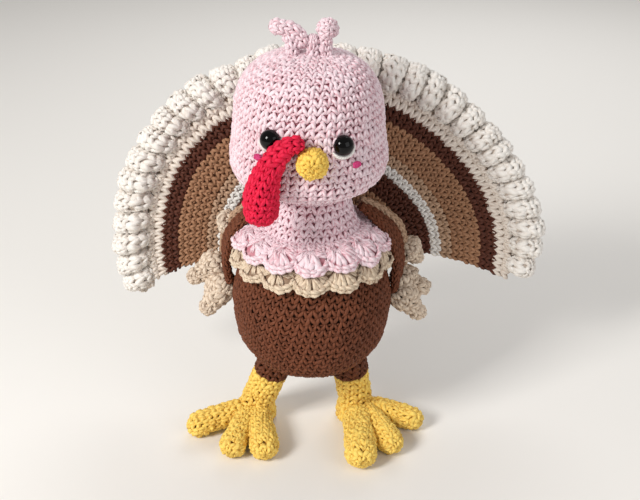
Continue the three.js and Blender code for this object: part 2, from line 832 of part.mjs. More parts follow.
function torsoRadiusAt(height) {
  const steps = torsoSteps * profileFineness;
  const profile = profileThrough(torsoShares, bellyRadius, bellyBottom, torsoHeight, steps, 0);
  const next = profile.findIndex((point, i) => i > 0 && point.y >= height);
  const low = profile[next - 1];
  const share = (height - low.y) / (profile[next].y - low.y);
  return THREE.MathUtils.lerp(low.x, profile[next].x, share);
}

// Wings hang from a rolled seam at the shoulder, which is the axis that they lift about
const wingHingeRoot = wingHingeHeight - wingThickness / 2;
const wingHingeX = torsoRadiusAt(wingHingeRoot) + seamGap + wingThickness / 2;

// Point on the wing: share along its route, width from its front edge, offset through its thickness
function wingFrame(sign, share) {
  const turn = sign < 0 ? leftWingFlare : rightWingFlare;
  const drop = sign < 0 ? leftWingDrop : rightWingDrop;
  const points = wingShares.map(([outShare, dropShare]) => {
    return new THREE.Vector3(sign * outShare * wingReach, 0, -dropShare * drop);
  });
  const curve = new THREE.CatmullRomCurve3(points);
  const widths = wingShares.map((row) => row[2] * wingWidth);
  const place = share * (widths.length - 1);
  const row = Math.min(Math.floor(place), widths.length - 2);
  const flare = sign * Math.sin(turn) * Math.min(share / flareRiseShare, 1);
  return {
    centre: curve.getPoint(share),
    tangent: curve.getTangent(share),
    width: THREE.MathUtils.lerp(widths[row], widths[row + 1], place - row),
    along: new THREE.Vector3(flare, Math.cos(turn), 0),
  };
}

// One leaf of a wing between two widths, with rounded edges and rolled ends
function wingLeaf(sign, startWidth, endWidth, grow) {
  const half = wingThickness / 2 + grow;
  const stations = wingCapTurns.map((turn) => [0, -Math.cos(turn), Math.sin(turn)]);
  for (let i = 0; i <= wingSteps; i += 1) {
    stations.push([i / wingSteps, 0, 1]);
  }
  stations.push(...wingCapTurns.map((turn) => [1, Math.sin(turn), Math.cos(turn)]));
  const rings = stations.map(([share, ahead, thick]) => {
    const { centre, tangent, width, along } = wingFrame(sign, share);
    const normal = new THREE.Vector3().crossVectors(tangent, along).normalize();
    const from = startWidth(width) - grow + half;
    const to = Math.max(endWidth(width) + grow - half, from);
    const ring = [];
    for (let j = 0; j < wingSectionSides; j += 1) {
      const turn = ((j + 0.5) / wingSectionSides) * Math.PI * 2 - Math.PI / 2;
      const edge = Math.cos(turn) > 0 ? to : from;
      const point = centre.clone().addScaledVector(tangent, ahead * half);
      point.addScaledVector(along, edge - wingFront + half * Math.cos(turn));
      point.addScaledVector(normal, -sign * half * thick * Math.sin(turn));
      ring.push(point);
    }
    return sign > 0 ? ring : ring.reverse();
  });
  return loft(rings.map((ring) => ring.reverse()));
}

const wings = [
  { name: 'left', sign: -1, featherShares: leftFeatherShares },
  { name: 'right', sign: 1, featherShares: rightFeatherShares },
];

for (const { name, sign, featherShares } of wings) {
  const wing = new THREE.Group();
  wing.position.set(sign * wingHingeX, wingHingeDepth, wingHingeHeight);
  turkey.add(wing);
  const leafEnd = (width) => width;
  const rimStart = (width) => width + seamGap;
  const rimEnd = (width) => width + seamGap + wingRimWidth;
  addPiece(wing, `${name}_wing`, cleaned(wingLeaf(sign, () => 0, leafEnd, 0)), brownYarn);
  addPiece(wing, `${name}_wing_rim`, cleaned(wingLeaf(sign, rimStart, rimEnd, 0)), tanYarn);
  const cutters = [wingLeaf(sign, () => 0, leafEnd, seamGap), wingLeaf(sign, rimStart, rimEnd, seamGap)];
  featherShares.forEach(({ startShare, bendShares, knobShares }, i) => {
    const { centre, width, along } = wingFrame(sign, startShare);
    const root = centre.clone().addScaledVector(along, width - wingFront + wingRimWidth / 2);
    const pointAt = ([out, back, down]) => {
      const step = new THREE.Vector3(sign * out, back, -down);
      return root.clone().addScaledVector(step, featherReach);
    };
    const points = [root, pointAt(bendShares), pointAt(knobShares)];
    const feather = (grow) => {
      const radii = featherRadiusShares.map((radius) => radius * featherRadius + grow);
      return roundedTube(points, radii, new THREE.Vector3(0, 1, 0), featherSides, featherSteps);
    };
    addPiece(wing, `${name}_feather_${i + 1}`, carve(feather(0), cutters), beigeYarn);
    cutters.push(feather(seamGap));
  });
}

// Fan tail: rings worked round a half circle, cupped a little towards the head.
// The yarn pulls it out of true, fuller on the left shoulder than on the right.
const fan = new THREE.Group();
fan.position.set(fanCentreX, bellyRadius + seamGap, fanCentreHeight);
turkey.add(fan);

const fanRings = [
  { name: 'fan_core', width: fanCoreRadius - fanEyeRadius, color: tanYarn },
  { name: 'fan_ring_inner_brown', width: innerBrownWidth, color: darkBrownYarn },
  { name: 'fan_ring_white', width: whiteRingWidth, color: whiteYarn },
  { name: 'fan_ring_tan', width: tanRingWidth, color: tanYarn },
  { name: 'fan_ring_outer_brown', width: outerBrownWidth, color: darkBrownYarn },
  { name: 'fan_ring_cream', width: creamRingWidth, color: creamYarn },
];
const flatFanRadius = fanRings.reduce((sum, ring) => sum + ring.width, fanEyeRadius);
const ruffleRadius = flatFanRadius + ruffleWidth;

function fanPoint(radius, share, droopRight, droopLeft, depth) {
  const rise = Math.max((radius - fanCoreRadius) / (ruffleRadius - fanCoreRadius), 0);
  const turn = THREE.MathUtils.lerp(-droopRight * rise, Math.PI + droopLeft * rise, share);
  const lop = fanLopShare * Math.sin(turn * 2) * Math.abs(Math.sin(turn * 2));
  const reach = radius * (1 - lop);
  return new THREE.Vector3(reach * Math.cos(turn), depth - fanCup * rise * rise, reach * Math.sin(turn));
}

function fanRing(innerRadius, outerRadius) {
  const middle = (innerRadius + outerRadius) / 2;
  const rings = [];
  for (let i = 0; i <= fanStepsRound; i += 1) {
    const share = i / fanStepsRound;
    const at = (radius, depth) => fanPoint(radius, share, fanDroop, fanDroop, depth);
    rings.push([
      at(innerRadius, 0),
      at(middle, 0),
      at(outerRadius, 0),
      at(outerRadius, fanThickness),
      at(middle, fanThickness),
      at(innerRadius, fanThickness),
    ]);
  }
  return cleaned(loft(rings));
}

let ringStart = fanEyeRadius;
for (const { name, width, color } of fanRings) {
  addPiece(fan, name, fanRing(ringStart + seamGap / 2, ringStart + width - seamGap / 2), color);
  ringStart += width;
}

// Ruffle: folds that swing forward and back, more the further out they reach
const ruffleInner = flatFanRadius + seamGap / 2;
const ruffleStations = ruffleFolds * ruffleStepsEach;
const ruffleRings = [];
for (let i = 0; i <= ruffleStations; i += 1) {
  const share = i / ruffleStations;
  const forward = Math.sin(share * ruffleFolds * Math.PI * 2);
  const swing = -ruffleWave * forward;
  const outer = ruffleRadius - (ruffleScallop * (1 - forward)) / 2;
  const middle = (ruffleInner + outer) / 2;
  const at = (radius, depth) => fanPoint(radius, share, ruffleDroopRight, ruffleDroopLeft, depth);
  ruffleRings.push([
    at(ruffleInner, 0),
    at(middle, swing * ruffleMiddleShare),
    at(outer, swing),
    at(outer, swing + ruffleThickness),
    at(middle, swing * ruffleMiddleShare + ruffleThickness),
    at(ruffleInner, fanThickness),
  ]);
}
addPiece(fan, 'fan_ruffle', cleaned(loft(ruffleRings)), creamYarn);

// The origin lies on the floor, under the middle of the whole figure
const reach = new THREE.Box3().setFromObject(turkey);
const middle = reach.getCenter(new THREE.Vector3());
turkey.position.set(-middle.x, -middle.y, -reach.min.z);

export default turkey;
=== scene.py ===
import math

import bpy
import numpy as np
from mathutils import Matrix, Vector


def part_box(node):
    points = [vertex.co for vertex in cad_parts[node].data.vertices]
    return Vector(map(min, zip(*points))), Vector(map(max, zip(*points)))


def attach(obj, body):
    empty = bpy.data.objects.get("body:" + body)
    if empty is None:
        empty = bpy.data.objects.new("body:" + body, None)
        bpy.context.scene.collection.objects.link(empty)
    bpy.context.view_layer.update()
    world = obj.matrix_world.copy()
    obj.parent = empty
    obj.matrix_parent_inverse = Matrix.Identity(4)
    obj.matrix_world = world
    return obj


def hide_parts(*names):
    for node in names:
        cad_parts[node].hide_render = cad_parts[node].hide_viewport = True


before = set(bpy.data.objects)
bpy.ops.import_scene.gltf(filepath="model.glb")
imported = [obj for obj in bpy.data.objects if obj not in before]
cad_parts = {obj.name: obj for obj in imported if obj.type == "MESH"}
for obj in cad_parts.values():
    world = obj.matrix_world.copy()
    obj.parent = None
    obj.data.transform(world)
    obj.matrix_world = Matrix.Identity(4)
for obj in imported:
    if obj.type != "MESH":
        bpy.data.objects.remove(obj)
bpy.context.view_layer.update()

MM = 0.001
UP = np.array((0.0, 0.0, 1.0))
AHEAD = np.array((0.0, -1.0, 0.0))
BACK = (0, 1, 0)
rng = np.random.default_rng(11)


def node_box(node):
    low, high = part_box(node)
    return np.array(low), np.array(high)


def added(name, data):
    """New object of the scene with this data."""
    made = bpy.data.objects.new(name, data)
    bpy.context.scene.collection.objects.link(made)
    return made


# Camera at the photograph's viewing angle, placed from the torso's upright axis
CAMERA_FROM_AXIS = np.array((4.7, -500, 371)) * MM
CAMERA_PITCH = math.radians(27)
CAMERA_LENS = 55.9
torso_low, torso_high = node_box("body_shell")
AXIS = (torso_low + torso_high) / 2
AXIS[2] = 0
camera = added("camera", bpy.data.cameras.new("camera"))
bpy.context.scene.camera = camera
camera.location = AXIS + CAMERA_FROM_AXIS
camera.rotation_euler = (math.pi / 2 - CAMERA_PITCH, 0, 0)
camera.data.lens = CAMERA_LENS
camera.data.clip_start = 0.01


# Smooth lines and the skins that stitches are laid on
def smooth(rows, count):
    """Smooth line through rows of numbers, as count rows."""
    rows = np.array(rows, float)
    knots = np.vstack([2 * rows[0] - rows[1], rows, 2 * rows[-1] - rows[-2]])
    at = np.linspace(0, len(rows) - 1, count)
    i = np.minimum(at.astype(int), len(rows) - 2)
    f = (at - i)[:, None]
    a, b, c, d = (knots[i + k] for k in range(4))
    bend, twist = 2 * a - 5 * b + 4 * c - d, 3 * b - a - 3 * c + d
    return 0.5 * (2 * b + (c - a) * f + bend * f**2 + twist * f**3)


def unit(vectors):
    return vectors / np.maximum(np.linalg.norm(vectors, axis=-1, keepdims=True), 1e-12)


def gaps(points):
    return np.linalg.norm(np.diff(points, axis=0), axis=1)


def running(lengths):
    return np.concatenate([[0], np.cumsum(lengths)])


def round_end(distance, radius):
    """Share of the full radius at a distance from a round end."""
    return np.sqrt(1 - (1 - np.clip(distance / radius, 0, 1)) ** 2)


def lumps(points, size):
    """Slow swell of hand-made work, between about -1 and 1, for bumps of that size."""
    x, y, z = (points * (2 * math.pi / size)).T
    waves = np.sin(x + 1.3 * np.sin(y * 0.7)) + np.sin(y * 0.9 + 2.1 + np.sin(z))
    return (waves + np.sin(z * 1.1 + x * 0.4 + 4)) / 3


class Skin:
    """Surface given in rows; a place on it is an angle, a distance along the rows and a lift."""

    def at(self, values, along):
        """Values of the rows at distances along the skin."""
        if values.ndim == 1:
            return np.interp(along, self.along, values)
        return np.stack([np.interp(along, self.along, values[:, k]) for k in range(3)], axis=1)


class Round(Skin):
    """Closed skin round a spine."""

    lump_size, lump_height = 31 * MM, 0.4 * MM
    sink = 0.0

    def __init__(self, spine, forward, radius, across):
        self.spine, self.forward, self.radius = spine, unit(forward), radius
        self.second = unit(np.cross(self.forward, across))
        self.first = np.cross(self.second, self.forward)
        travel = gaps(spine)
        self.along = running(np.maximum(np.hypot(travel, np.diff(radius)), 1e-7))
        self.rise = np.gradient(running(travel), self.along)
        self.swell = np.gradient(radius, self.along)
        self.length = self.along[-1]

    def radius_at(self, along):
        return self.at(self.radius, along)

    def place(self, angle, along, lift):
        cos, sin = np.cos(angle)[:, None], np.sin(angle)[:, None]
        out = self.at(self.first, along) * cos + self.at(self.second, along) * sin
        rise, swell = self.at(self.rise, along)[:, None], self.at(self.swell, along)[:, None]
        normal = unit(out * rise - self.at(self.forward, along) * swell)
        points = self.at(self.spine, along) + out * self.radius_at(along)[:, None]
        lift = lift - self.sink + self.lump_height * lumps(points, self.lump_size)
        return points + normal * lift[:, None]

    def part(self, start, end):
        """The stretch of this skin between two distances along it."""
        keep = (self.along >= start) & (self.along <= end)
        return Round(self.spine[keep], self.forward[keep], self.radius[keep], self.first[keep])

    def turned_over(self):
        """This skin, worked from its other end."""
        return Round(self.spine[::-1], -self.forward[::-1], self.radius[::-1], self.first[::-1])


def revolved(axis, profile):
    """Skin of revolution about an upright axis; each profile row is a radius and a height."""
    radius, height = np.maximum(profile[:, 0], 0), profile[:, 1]
    spine = np.array(axis) + UP * height[:, None]
    upward = UP * np.sign(height[-1] - height[0])
    return Round(spine, np.tile(upward, (len(spine), 1)), radius, np.tile(AHEAD, (len(spine), 1)))


def tubed(route, radii, across, capped=True, count=120):
    """Tube along a route whose radius follows the rows; its ends are round if it is capped."""
    line = smooth(np.column_stack([route, radii]), count)
    spine, radius = line[:, :3], line[:, 3]
    if capped:
        reach = running(gaps(spine))
        radius = radius * round_end(reach, radius[0]) * round_end(reach[-1] - reach, radius[-1])
    return Round(spine, np.gradient(spine, axis=0), radius, np.tile(across, (count, 1)))


def ball(centre, axis, radius, across):
    """Round skin of a ball worked from the pole that the axis points to."""
    turn = np.linspace(0, math.pi, 80)
    axis = unit(np.array(axis, float))
    spine = np.array(centre) + np.outer(np.cos(turn), axis) * radius
    forward, across = (np.tile(direction, (len(turn), 1)) for direction in (-axis, across))
    return Round(spine, forward, radius * np.sin(turn), across)


def grid(rows, sides, closed=False, turns=1.0):
    """Faces of a grid of points and the yarn coordinates of their corners; closed ones face the other way."""
    across = sides if closed else sides - 1
    i, j = (k.ravel() for k in np.meshgrid(np.arange(rows - 1), np.arange(across), indexing="ij"))
    a, b = i * sides + j, i * sides + (j + 1) % sides
    corners = [(a, 0, 0), (b, 1, 0), (b + sides, 1, 1), (a + sides, 0, 1)]
    if not closed:
        corners[1:] = corners[:0:-1]
    faces = np.stack([corner for corner, _, _ in corners], axis=-1)
    uvs = [np.stack([(j + u) / across, (i + v) / (rows - 1) * turns], -1) for _, u, v in corners]
    return faces, np.stack(uvs, axis=1)


# Stitch shapes: strands of yarn in a small flat patch, across, along and off the skin
ARCH = np.radians((-118, -62, 0, 62, 118))
# Tones round each strand: its flanks darker than its top, as painted shade
ARCH_SHADE_TONES = np.array((0.6, 0.9, 1, 0.9, 0.6))


class Shape:
    """Points, faces, yarn coordinates and tones of one stitch."""

    def __init__(self, strands):
        points, faces, uvs, tones = [], [], [], []
        for route, radii, shades in strands:
            base = sum(len(p) for p in points)
            ahead = unit(np.gradient(route, axis=0))
            side = unit(np.cross(ahead, UP))
            top = np.cross(side, ahead)
            ring = np.sin(ARCH)[:, None] * side[:, None] + np.cos(ARCH)[:, None] * top[:, None]
            points.append((route[:, None] + ring * radii[:, None, None]).reshape(-1, 3))
            tones.append(np.outer(shades, ARCH_SHADE_TONES).ravel())
            strand_faces, strand_uvs = grid(len(route), len(ARCH))
            faces.append(base + strand_faces)
            uvs.append(strand_uvs)
        self.points, self.tones = np.vstack(points), np.concatenate(tones)
        self.faces, self.uvs = np.vstack(faces), np.vstack(uvs)


# Strands from one tucked end to the other: across, along, lift, radius and tone, the tone low at the tucked
# ends as painted shade.
# The leg of a V, the loop of the round before between two stitches, half of a tall stitch and its wrap.
LEG_SHARES = (
    (0.03, -0.24, -0.6, 0.55, 0.3),
    (0.06, -0.02, 0.7, 0.68, 1.0),
    (0.2, 0.34, 0.95, 1.02, 1.0),
    (0.38, 0.68, 0.8, 1.12, 1.0),
    (0.5, 1.0, -0.3, 0.85, 0.6),
)
BAR_SHARES = (
    (0.16, 0.18, -0.3, 0.7, 0.6),
    (0.31, 0.12, 0.25, 0.9, 0.9),
    (0.5, 0.09, 0.42, 0.95, 0.95),
    (0.69, 0.12, 0.25, 0.9, 0.9),
    (0.84, 0.18, -0.3, 0.7, 0.6),
)
POST_SHARES = (
    (0.2, 0, -0.5, 0.7, 0.4),
    (0.25, 0.2, 0.6, 0.95, 0.95),
    (0.2, 0.5, 0.85, 1.0, 1.0),
    (0.25, 0.82, 0.75, 1.0, 1.0),
    (0.2, 1.02, -0.3, 0.75, 0.5),
)
WRAP_SHARES = (
    (-0.5, 0.36, -0.3, 0.6, 0.4),
    (-0.26, 0.44, 1.6, 0.8, 1.0),
    (0.02, 0.55, 1.9, 0.85, 1.0),
    (0.28, 0.66, 1.5, 0.8, 1.0),
    (0.5, 0.74, -0.3, 0.6, 0.4),
)
# One side of a chain's link: along the edge, across it, lift, radius and tone, the tone low at its tucked
# ends as painted shade
CHAIN_SHARES = (
    (-0.6, 0.08, -0.5, 0.7, 0.5),
    (-0.3, 0.3, 0.5, 1.0, 0.9),
    (0.05, 0.4, 0.8, 1.1, 1.0),
    (0.4, 0.28, 0.65, 1.0, 1.0),
    (0.65, 0.05, -0.2, 0.6, 0.6),
)


def sized(shares, width, height, yarn, sign=1, lean=0.0):
    """Strand of a stitch from its shares, mirrored by the sign and leaning across as it rises."""
    shares = np.array(shares)
    across = (sign * shares[:, 0] + lean * (shares[:, 1] - 0.4)) * width
    route = np.column_stack([across, shares[:, 1] * height, shares[:, 2] * yarn])
    return route, shares[:, 3] * yarn, shares[:, 4]


def vee(width, height, yarn, lean=0.12, bar=1.0):
    """Single crochet: two plump legs that open upward, and a share of a loop between stitches."""
    strands = [sized(LEG_SHARES, width, height, yarn, sign, lean) for sign in (-1, 1)]
    if bar:
        strands.append(sized(BAR_SHARES, width, height, yarn * bar))
    return Shape(strands)


def post(width, height, yarn):
    """Tall stitch: two strands side by side with a loop wrapped round them."""
    strands = [sized(POST_SHARES, width, height, yarn, sign, lean=0.36) for sign in (-1, 1)]
    return Shape(strands + [sized(WRAP_SHARES, width, height, yarn)])


def chain(length, width, yarn):
    """Link of an edge: two plump strands side by side along it, each over the foot of the next."""
    rows = np.array(CHAIN_SHARES)
    sides = [rows[:, :3] * (length, width * sign, yarn) for sign in (-1, 1)]
    return Shape([(route, rows[:, 3] * yarn, rows[:, 4]) for route in sides])


# Parts of a piece: points, faces, yarn coordinates and tones
def anchor_row(across, along, per_metre, stretch, tall=1):
    """Anchors of a row of stitches; a value other than across is given for all or for each."""
    values = (across, along, per_metre, stretch, tall)
    return np.column_stack([np.broadcast_to(value, len(across)) for value in values])


def lay(place, anchors, shape, wobble=0.06, spread=0.05, shade=0.12, painted_shade=1.0):
    """Repeats a shape at every anchor: across, along, turn per metre across, stretch, tallness."""
    count, size = len(anchors), len(shape.points)
    turn = rng.normal(0, wobble, (count, 1))
    grow = rng.normal(1, spread, (count, 1))
    px, py, pz = shape.points.T
    middle = (py.min() + py.max()) / 2
    across, along, per_metre, stretch, tall = (anchors[:, k : k + 1] for k in range(5))
    x = (px * np.cos(turn) - (py - middle) * np.sin(turn)) * grow * stretch
    y = ((px * np.sin(turn) + (py - middle) * np.cos(turn)) * grow + middle) * tall
    z = pz * grow
    points = place((across + x * per_metre).ravel(), (along + y).ravel(), z.ravel())
    offset = (np.arange(count) * size)[:, None, None]
    faces = (shape.faces[None] + offset).reshape(-1, 4)
    own = rng.uniform(1 - shade, 1 + shade * 0.8, count) * painted_shade
    return points, faces, np.tile(shape.uvs, (count, 1, 1)), np.outer(own, shape.tones).ravel()


def chained(place, travel, length, width, yarn):
    """Links laid end to end along an edge."""
    count = round(travel / length)
    anchors = anchor_row((np.arange(count) + 0.5) * travel / count, 0, 1, travel / count / length)
    return lay(place, anchors, chain(length, width, yarn), wobble=0.1, spread=0.1)


def rounds(skin, width, height, drift=0.14, group=6):
    """Anchors of the stitches of a skin worked in rounds, with increases in groups."""
    count = max(1, round(skin.length / height))
    pitch = skin.length / count
    least = width * group / (2 * math.pi) * 0.8
    rows = []
    for k in range(count):
        along = k * pitch
        radius = max(skin.radius_at(along + pitch / 2), least)
        girth = 2 * math.pi * radius
        stitches = max(group, group * round(girth / (width * group)))
        angle = 2 * math.pi * (np.arange(stitches) + drift * k) / stitches
        rows.append(anchor_row(angle, along, 1 / radius, girth / stitches / width))
    return np.vstack(rows)


def plain(points, faces, tone):
    """Part in one tone, without yarn coordinates."""
    return points, faces, np.zeros((len(faces), 4, 2)), np.full(len(points), tone)


END_GAP = 0.0002
# Low tone of the skin under the stitches: painted shade seen through the gaps
INNER_SHADE_TONE = 0.22


def inner_skin(skin, lift, sides=64, step=2 * MM):
    """Closed skin under the stitches, dark as painted shade in the gaps between them."""
    count = max(4, round(skin.length / step))
    along = np.linspace(END_GAP, skin.length - END_GAP, count)
    angle = np.linspace(0, 2 * math.pi, sides, endpoint=False)
    points = skin.place(np.tile(angle, count), np.repeat(along, sides), np.full(count * sides, lift))
    return plain(points, grid(count, sides, closed=True)[0], INNER_SHADE_TONE)


# Materials
def new_material(name):
    material = bpy.data.materials.new(name)
    material.use_nodes = True
    tree = material.node_tree
    return material, tree.nodes, tree.links, tree.nodes["Principled BSDF"].inputs


def preset(sockets, values):
    for name, value in values.items():
        sockets[name].default_value = value


def ramped(nodes, links, factor, start, low, high):
    """Colour that goes from low to high by a factor from the start to 1."""
    ramp = nodes.new("ShaderNodeValToRGB")
    first, last = ramp.color_ramp.elements
    first.position, first.color, last.color = start, (*low, 1), (*high, 1)
    links.new(factor, ramp.inputs["Fac"])
    return ramp.outputs["Color"]


PLIES = 2.0
PLY_TWIST = 2.4
PATCH_SCALE = 260
FIBRE_SCALE = 2600
FIBRE_DEPTH = 0.16 * MM
GRAIN_SCALE = 900


def yarn_material(name, light, gap_shade, sheen=0.15, ply_shade=0.14):
    """Plied cotton: pale on the strands and deeper where they tuck in and between the plies, as painted
    shade, with twist and fibre.
    """
    material, nodes, links, surface = new_material(name)
    preset(surface, {"Roughness": 0.6, "Specular IOR Level": 0.22, "Sheen Weight": sheen})
    preset(surface, {"Sheen Roughness": 0.45, "Sheen Tint": (*light, 1)})

    def calculate(operation, *values):
        """Result of a sum on numbers and outputs of other nodes."""
        node = nodes.new("ShaderNodeMath")
        node.operation = operation
        for socket, value in zip(node.inputs, values):
            if isinstance(value, (int, float)):
                socket.default_value = value
            else:
                links.new(value, socket)
        return node.outputs[0]

    coords = nodes.new("ShaderNodeUVMap")
    coords.uv_map = "yarn"
    parts = nodes.new("ShaderNodeSeparateXYZ")
    links.new(coords.outputs["UV"], parts.inputs[0])
    ply = calculate("MULTIPLY", parts.outputs[0], PLIES)
    twist = calculate("MULTIPLY_ADD", parts.outputs[1], PLY_TWIST, ply)
    wave = calculate("SINE", calculate("MULTIPLY", twist, 2 * math.pi))
    where = nodes.new("ShaderNodeNewGeometry")

    def noise(scale, detail):
        node = nodes.new("ShaderNodeTexNoise")
        preset(node.inputs, {"Scale": scale, "Detail": detail})
        links.new(where.outputs["Position"], node.inputs["Vector"])
        return node.outputs["Fac"]

    tone = nodes.new("ShaderNodeAttribute")
    tone.attribute_name = "tone"
    mottle = calculate("MULTIPLY_ADD", noise(PATCH_SCALE, 3), 0.5, -0.25)
    # Colour runs from the painted shade of the gaps to the lit yarn, by the tone, the ply grooves and a
    # random mottle
    depth = calculate("ADD", tone.outputs["Fac"], calculate("MULTIPLY_ADD", wave, ply_shade, mottle))
    links.new(ramped(nodes, links, depth, 0.12, gap_shade, light), surface["Base Color"])

    bump = nodes.new("ShaderNodeBump")
    preset(bump.inputs, {"Strength": 0.7, "Distance": FIBRE_DEPTH})
    relief = calculate("MULTIPLY_ADD", noise(FIBRE_SCALE, 2), 0.5, calculate("MULTIPLY", wave, 0.6))
    links.new(relief, bump.inputs["Height"])
    links.new(bump.outputs["Normal"], surface["Normal"])
    return material


def plain_material(name, colour, roughness, speckle, metal=0.0, gloss=0.5):
    """Moulded or drawn finish with a faint grain of its own."""
    material, nodes, links, surface = new_material(name)
    preset(surface, {"Roughness": roughness, "Metallic": metal, "Specular IOR Level": gloss})
    grain = nodes.new("ShaderNodeTexNoise")
    grain.inputs["Scale"].default_value = GRAIN_SCALE
    low = [c * (1 - speckle) for c in colour]
    high = [min(1, c * (1 + speckle)) for c in colour]
    links.new(ramped(nodes, links, grain.outputs["Fac"], 0, low, high), surface["Base Color"])
    return material


# Yarns: slot, colour of strands, painted shade of the gaps, and where they aren't usual, sheen and painted
# shade of the ply grooves
YARNS = {
    "pink": ("pink_yarn", (0.85, 0.7, 0.75), (0.54, 0.15, 0.2), 0.15, 0.18),
    "brown": ("brown_yarn", (0.17, 0.052, 0.023), (0.008, 0.002, 0.001), 0.02),
    "rose": ("rose_yarn", (0.66, 0.06, 0.22), (0.4, 0.02, 0.11)),
    "red": ("red_yarn", (0.74, 0.013, 0.06), (0.36, 0.003, 0.02), 0.04),
    "yellow": ("yellow_yarn", (0.96, 0.69, 0.16), (0.48, 0.17, 0.008), 0.05, 0.2),
    "beak": ("yellow_yarn", (0.93, 0.64, 0.13), (0.5, 0.2, 0.012), 0.05),
    "tan": ("tan_yarn", (0.38, 0.2, 0.112), (0.08, 0.03, 0.013), 0.05),
    "pale_tan": ("tan_yarn", (0.5, 0.33, 0.22), (0.13, 0.06, 0.03), 0.06),
    "beige": ("beige_yarn", (0.76, 0.63, 0.5), (0.16, 0.075, 0.04), 0.08, 0.22),
    "shell_beige": ("beige_yarn", (0.74, 0.61, 0.46), (0.2, 0.095, 0.048), 0.08, 0.2),
    "cuff_brown": ("dark_brown_yarn", (0.15, 0.046, 0.02), (0.02, 0.005, 0.002), 0.02),
    "dark_brown": ("dark_brown_yarn", (0.1, 0.03, 0.017), (0.01, 0.002, 0.0015), 0.01),
    "cream": ("cream_yarn", (0.86, 0.83, 0.79), (0.62, 0.52, 0.44)),
    # The ring's cream: a little warmer, and darker as painted shade where the ring lies under the ruffle
    "ring_cream": ("cream_yarn", (0.8, 0.73, 0.66), (0.4, 0.27, 0.19)),
    "white": ("white_yarn", (0.86, 0.84, 0.81), (0.42, 0.36, 0.31)),
}
# Other finishes: slot, colour, roughness and speckle, and where it isn't usual, metal and gloss
PLAINS = {
    "eye": ("eye_plastic", (0.001, 0.0009, 0.001), 0.06, 0.3, 0.0, 0.22),
    "eye_washer": ("washer_plastic", (0.75, 0.73, 0.68), 0.45, 0.1),
    "leg_wire": ("zinc_wire", (0.55, 0.56, 0.58), 0.35, 0.2, 1.0),
    "fibre": ("stuffing", (0.85, 0.84, 0.8), 0.95, 0.12),
}
finishes = {name: (yarn_material(f"{name}_yarn", *look), slot) for name, (slot, *look) in YARNS.items()}
finishes |= {name: (plain_material(slot, *look), slot) for name, (slot, *look) in PLAINS.items()}

for side_name in ("left", "right"):
    for part_name in ("eye_washer", "leg_wire"):
        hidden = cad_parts[f"{side_name}_{part_name}"].data.materials
        hidden.clear()
        hidden.append(finishes[part_name][0])


def piece(name, parts, finish, body="root", stands_for=(), slot=None):
    """One mesh object from parts, riding on its body."""
    points, faces, uvs, tones = zip(*parts)
    starts = np.cumsum([0, *(len(p) for p in points[:-1])])
    mesh = bpy.data.meshes.new(name)
    mesh.from_pydata(np.vstack(points), [], np.vstack([f + start for f, start in zip(faces, starts)]))
    layer = mesh.uv_layers.new(name="yarn")
    layer.data.foreach_set("uv", np.vstack(uvs).astype(np.float32).ravel())
    tone = mesh.attributes.new("tone", "FLOAT", "POINT")
    tone.data.foreach_set("value", np.concatenate(tones).astype(np.float32))
    mesh.shade_smooth()
    material, own_slot = finishes[finish]
    mesh.materials.append(material)
    made = added(name, mesh)
    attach(made, body)
    if stands_for:
        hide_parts(*stands_for)
    return made


# Torso and head, as shares of their radius and height
TORSO_SHARES = (
    *((0, 0), (0.31, 0.008), (0.578, 0.038), (0.789, 0.1), (0.933, 0.197)),
    *((1, 0.333), (0.991, 0.435), (0.929, 0.536), (0.827, 0.63), (0.7, 0.714)),
    *((0.578, 0.791), (0.496, 0.867), (0.465, 0.918), (0.455, 1)),
)
HEAD_SHARES = (
    *((0, 0), (0.45, 0.002), (0.76, 0.025), (0.92, 0.085), (0.995, 0.18), (0.997, 0.28), (0.972, 0.42)),
    *((0.943, 0.58), (0.89, 0.74), (0.785, 0.86), (0.59, 0.945), (0.3, 0.992), (0, 1)),
)
BELLY_RADIUS = 44.8 * MM
TORSO_HEIGHT = 117.1 * MM
HEAD_RADIUS = 42 * MM
STITCH_WIDTH = 4.9 * MM
STITCH_HEIGHT = 3.9 * MM
STITCH_YARN = 0.98 * MM
BELLY_DRIFT = 0.26
HEAD_DRIFT = 0.09
YARN_SINK = 1.5
SKIN_DEPTH = -0.45 * MM
single = vee(STITCH_WIDTH, STITCH_HEIGHT, STITCH_YARN)
open_single = vee(STITCH_WIDTH, STITCH_HEIGHT, STITCH_YARN, bar=0.72)


def profile_of(shares, radius, height, bottom, count=300):
    """Smooth profile of a radius and a height, from shares of both."""
    profile = smooth(np.array(shares) * (radius, height), count)
    profile[:, 1] += bottom
    return profile


def profile_radius(profile, height):
    order = np.argsort(profile[:, 1])
    return np.interp(height, profile[order, 1], profile[order, 0])


def worked(name, node, skin, shape, drift, finish):
    """Stuffed piece worked in rounds, in place of a shell."""
    skin.sink = STITCH_YARN * YARN_SINK
    anchors = rounds(skin, STITCH_WIDTH, STITCH_HEIGHT, drift)
    stitches = lay(skin.place, anchors, shape, wobble=0.16, spread=0.09, shade=0.16)
    made = piece(name, [inner_skin(skin, SKIN_DEPTH), stitches], finish, "root", [node])


torso_profile = profile_of(TORSO_SHARES, BELLY_RADIUS, TORSO_HEIGHT, torso_low[2])
torso = revolved(AXIS, torso_profile)
colour_change = np.interp(torso_high[2], torso_profile[:, 1], torso.along)
belly, neck = torso.part(0, colour_change).turned_over(), torso.part(colour_change, torso.length)
worked("belly_crochet", "body_shell", belly, open_single, BELLY_DRIFT, "brown")
worked("neck_crochet", "neck", neck, single, HEAD_DRIFT, "pink")

head_low, head_high = node_box("head_shell")
head_middle = (head_low + head_high) / 2
head_middle[2] = 0
head_profile = profile_of(HEAD_SHARES, HEAD_RADIUS, head_high[2] - head_low[2], head_low[2])
head = revolved(head_middle, head_profile)
worked("head_crochet", "head_shell", head, single, HEAD_DRIFT, "pink")

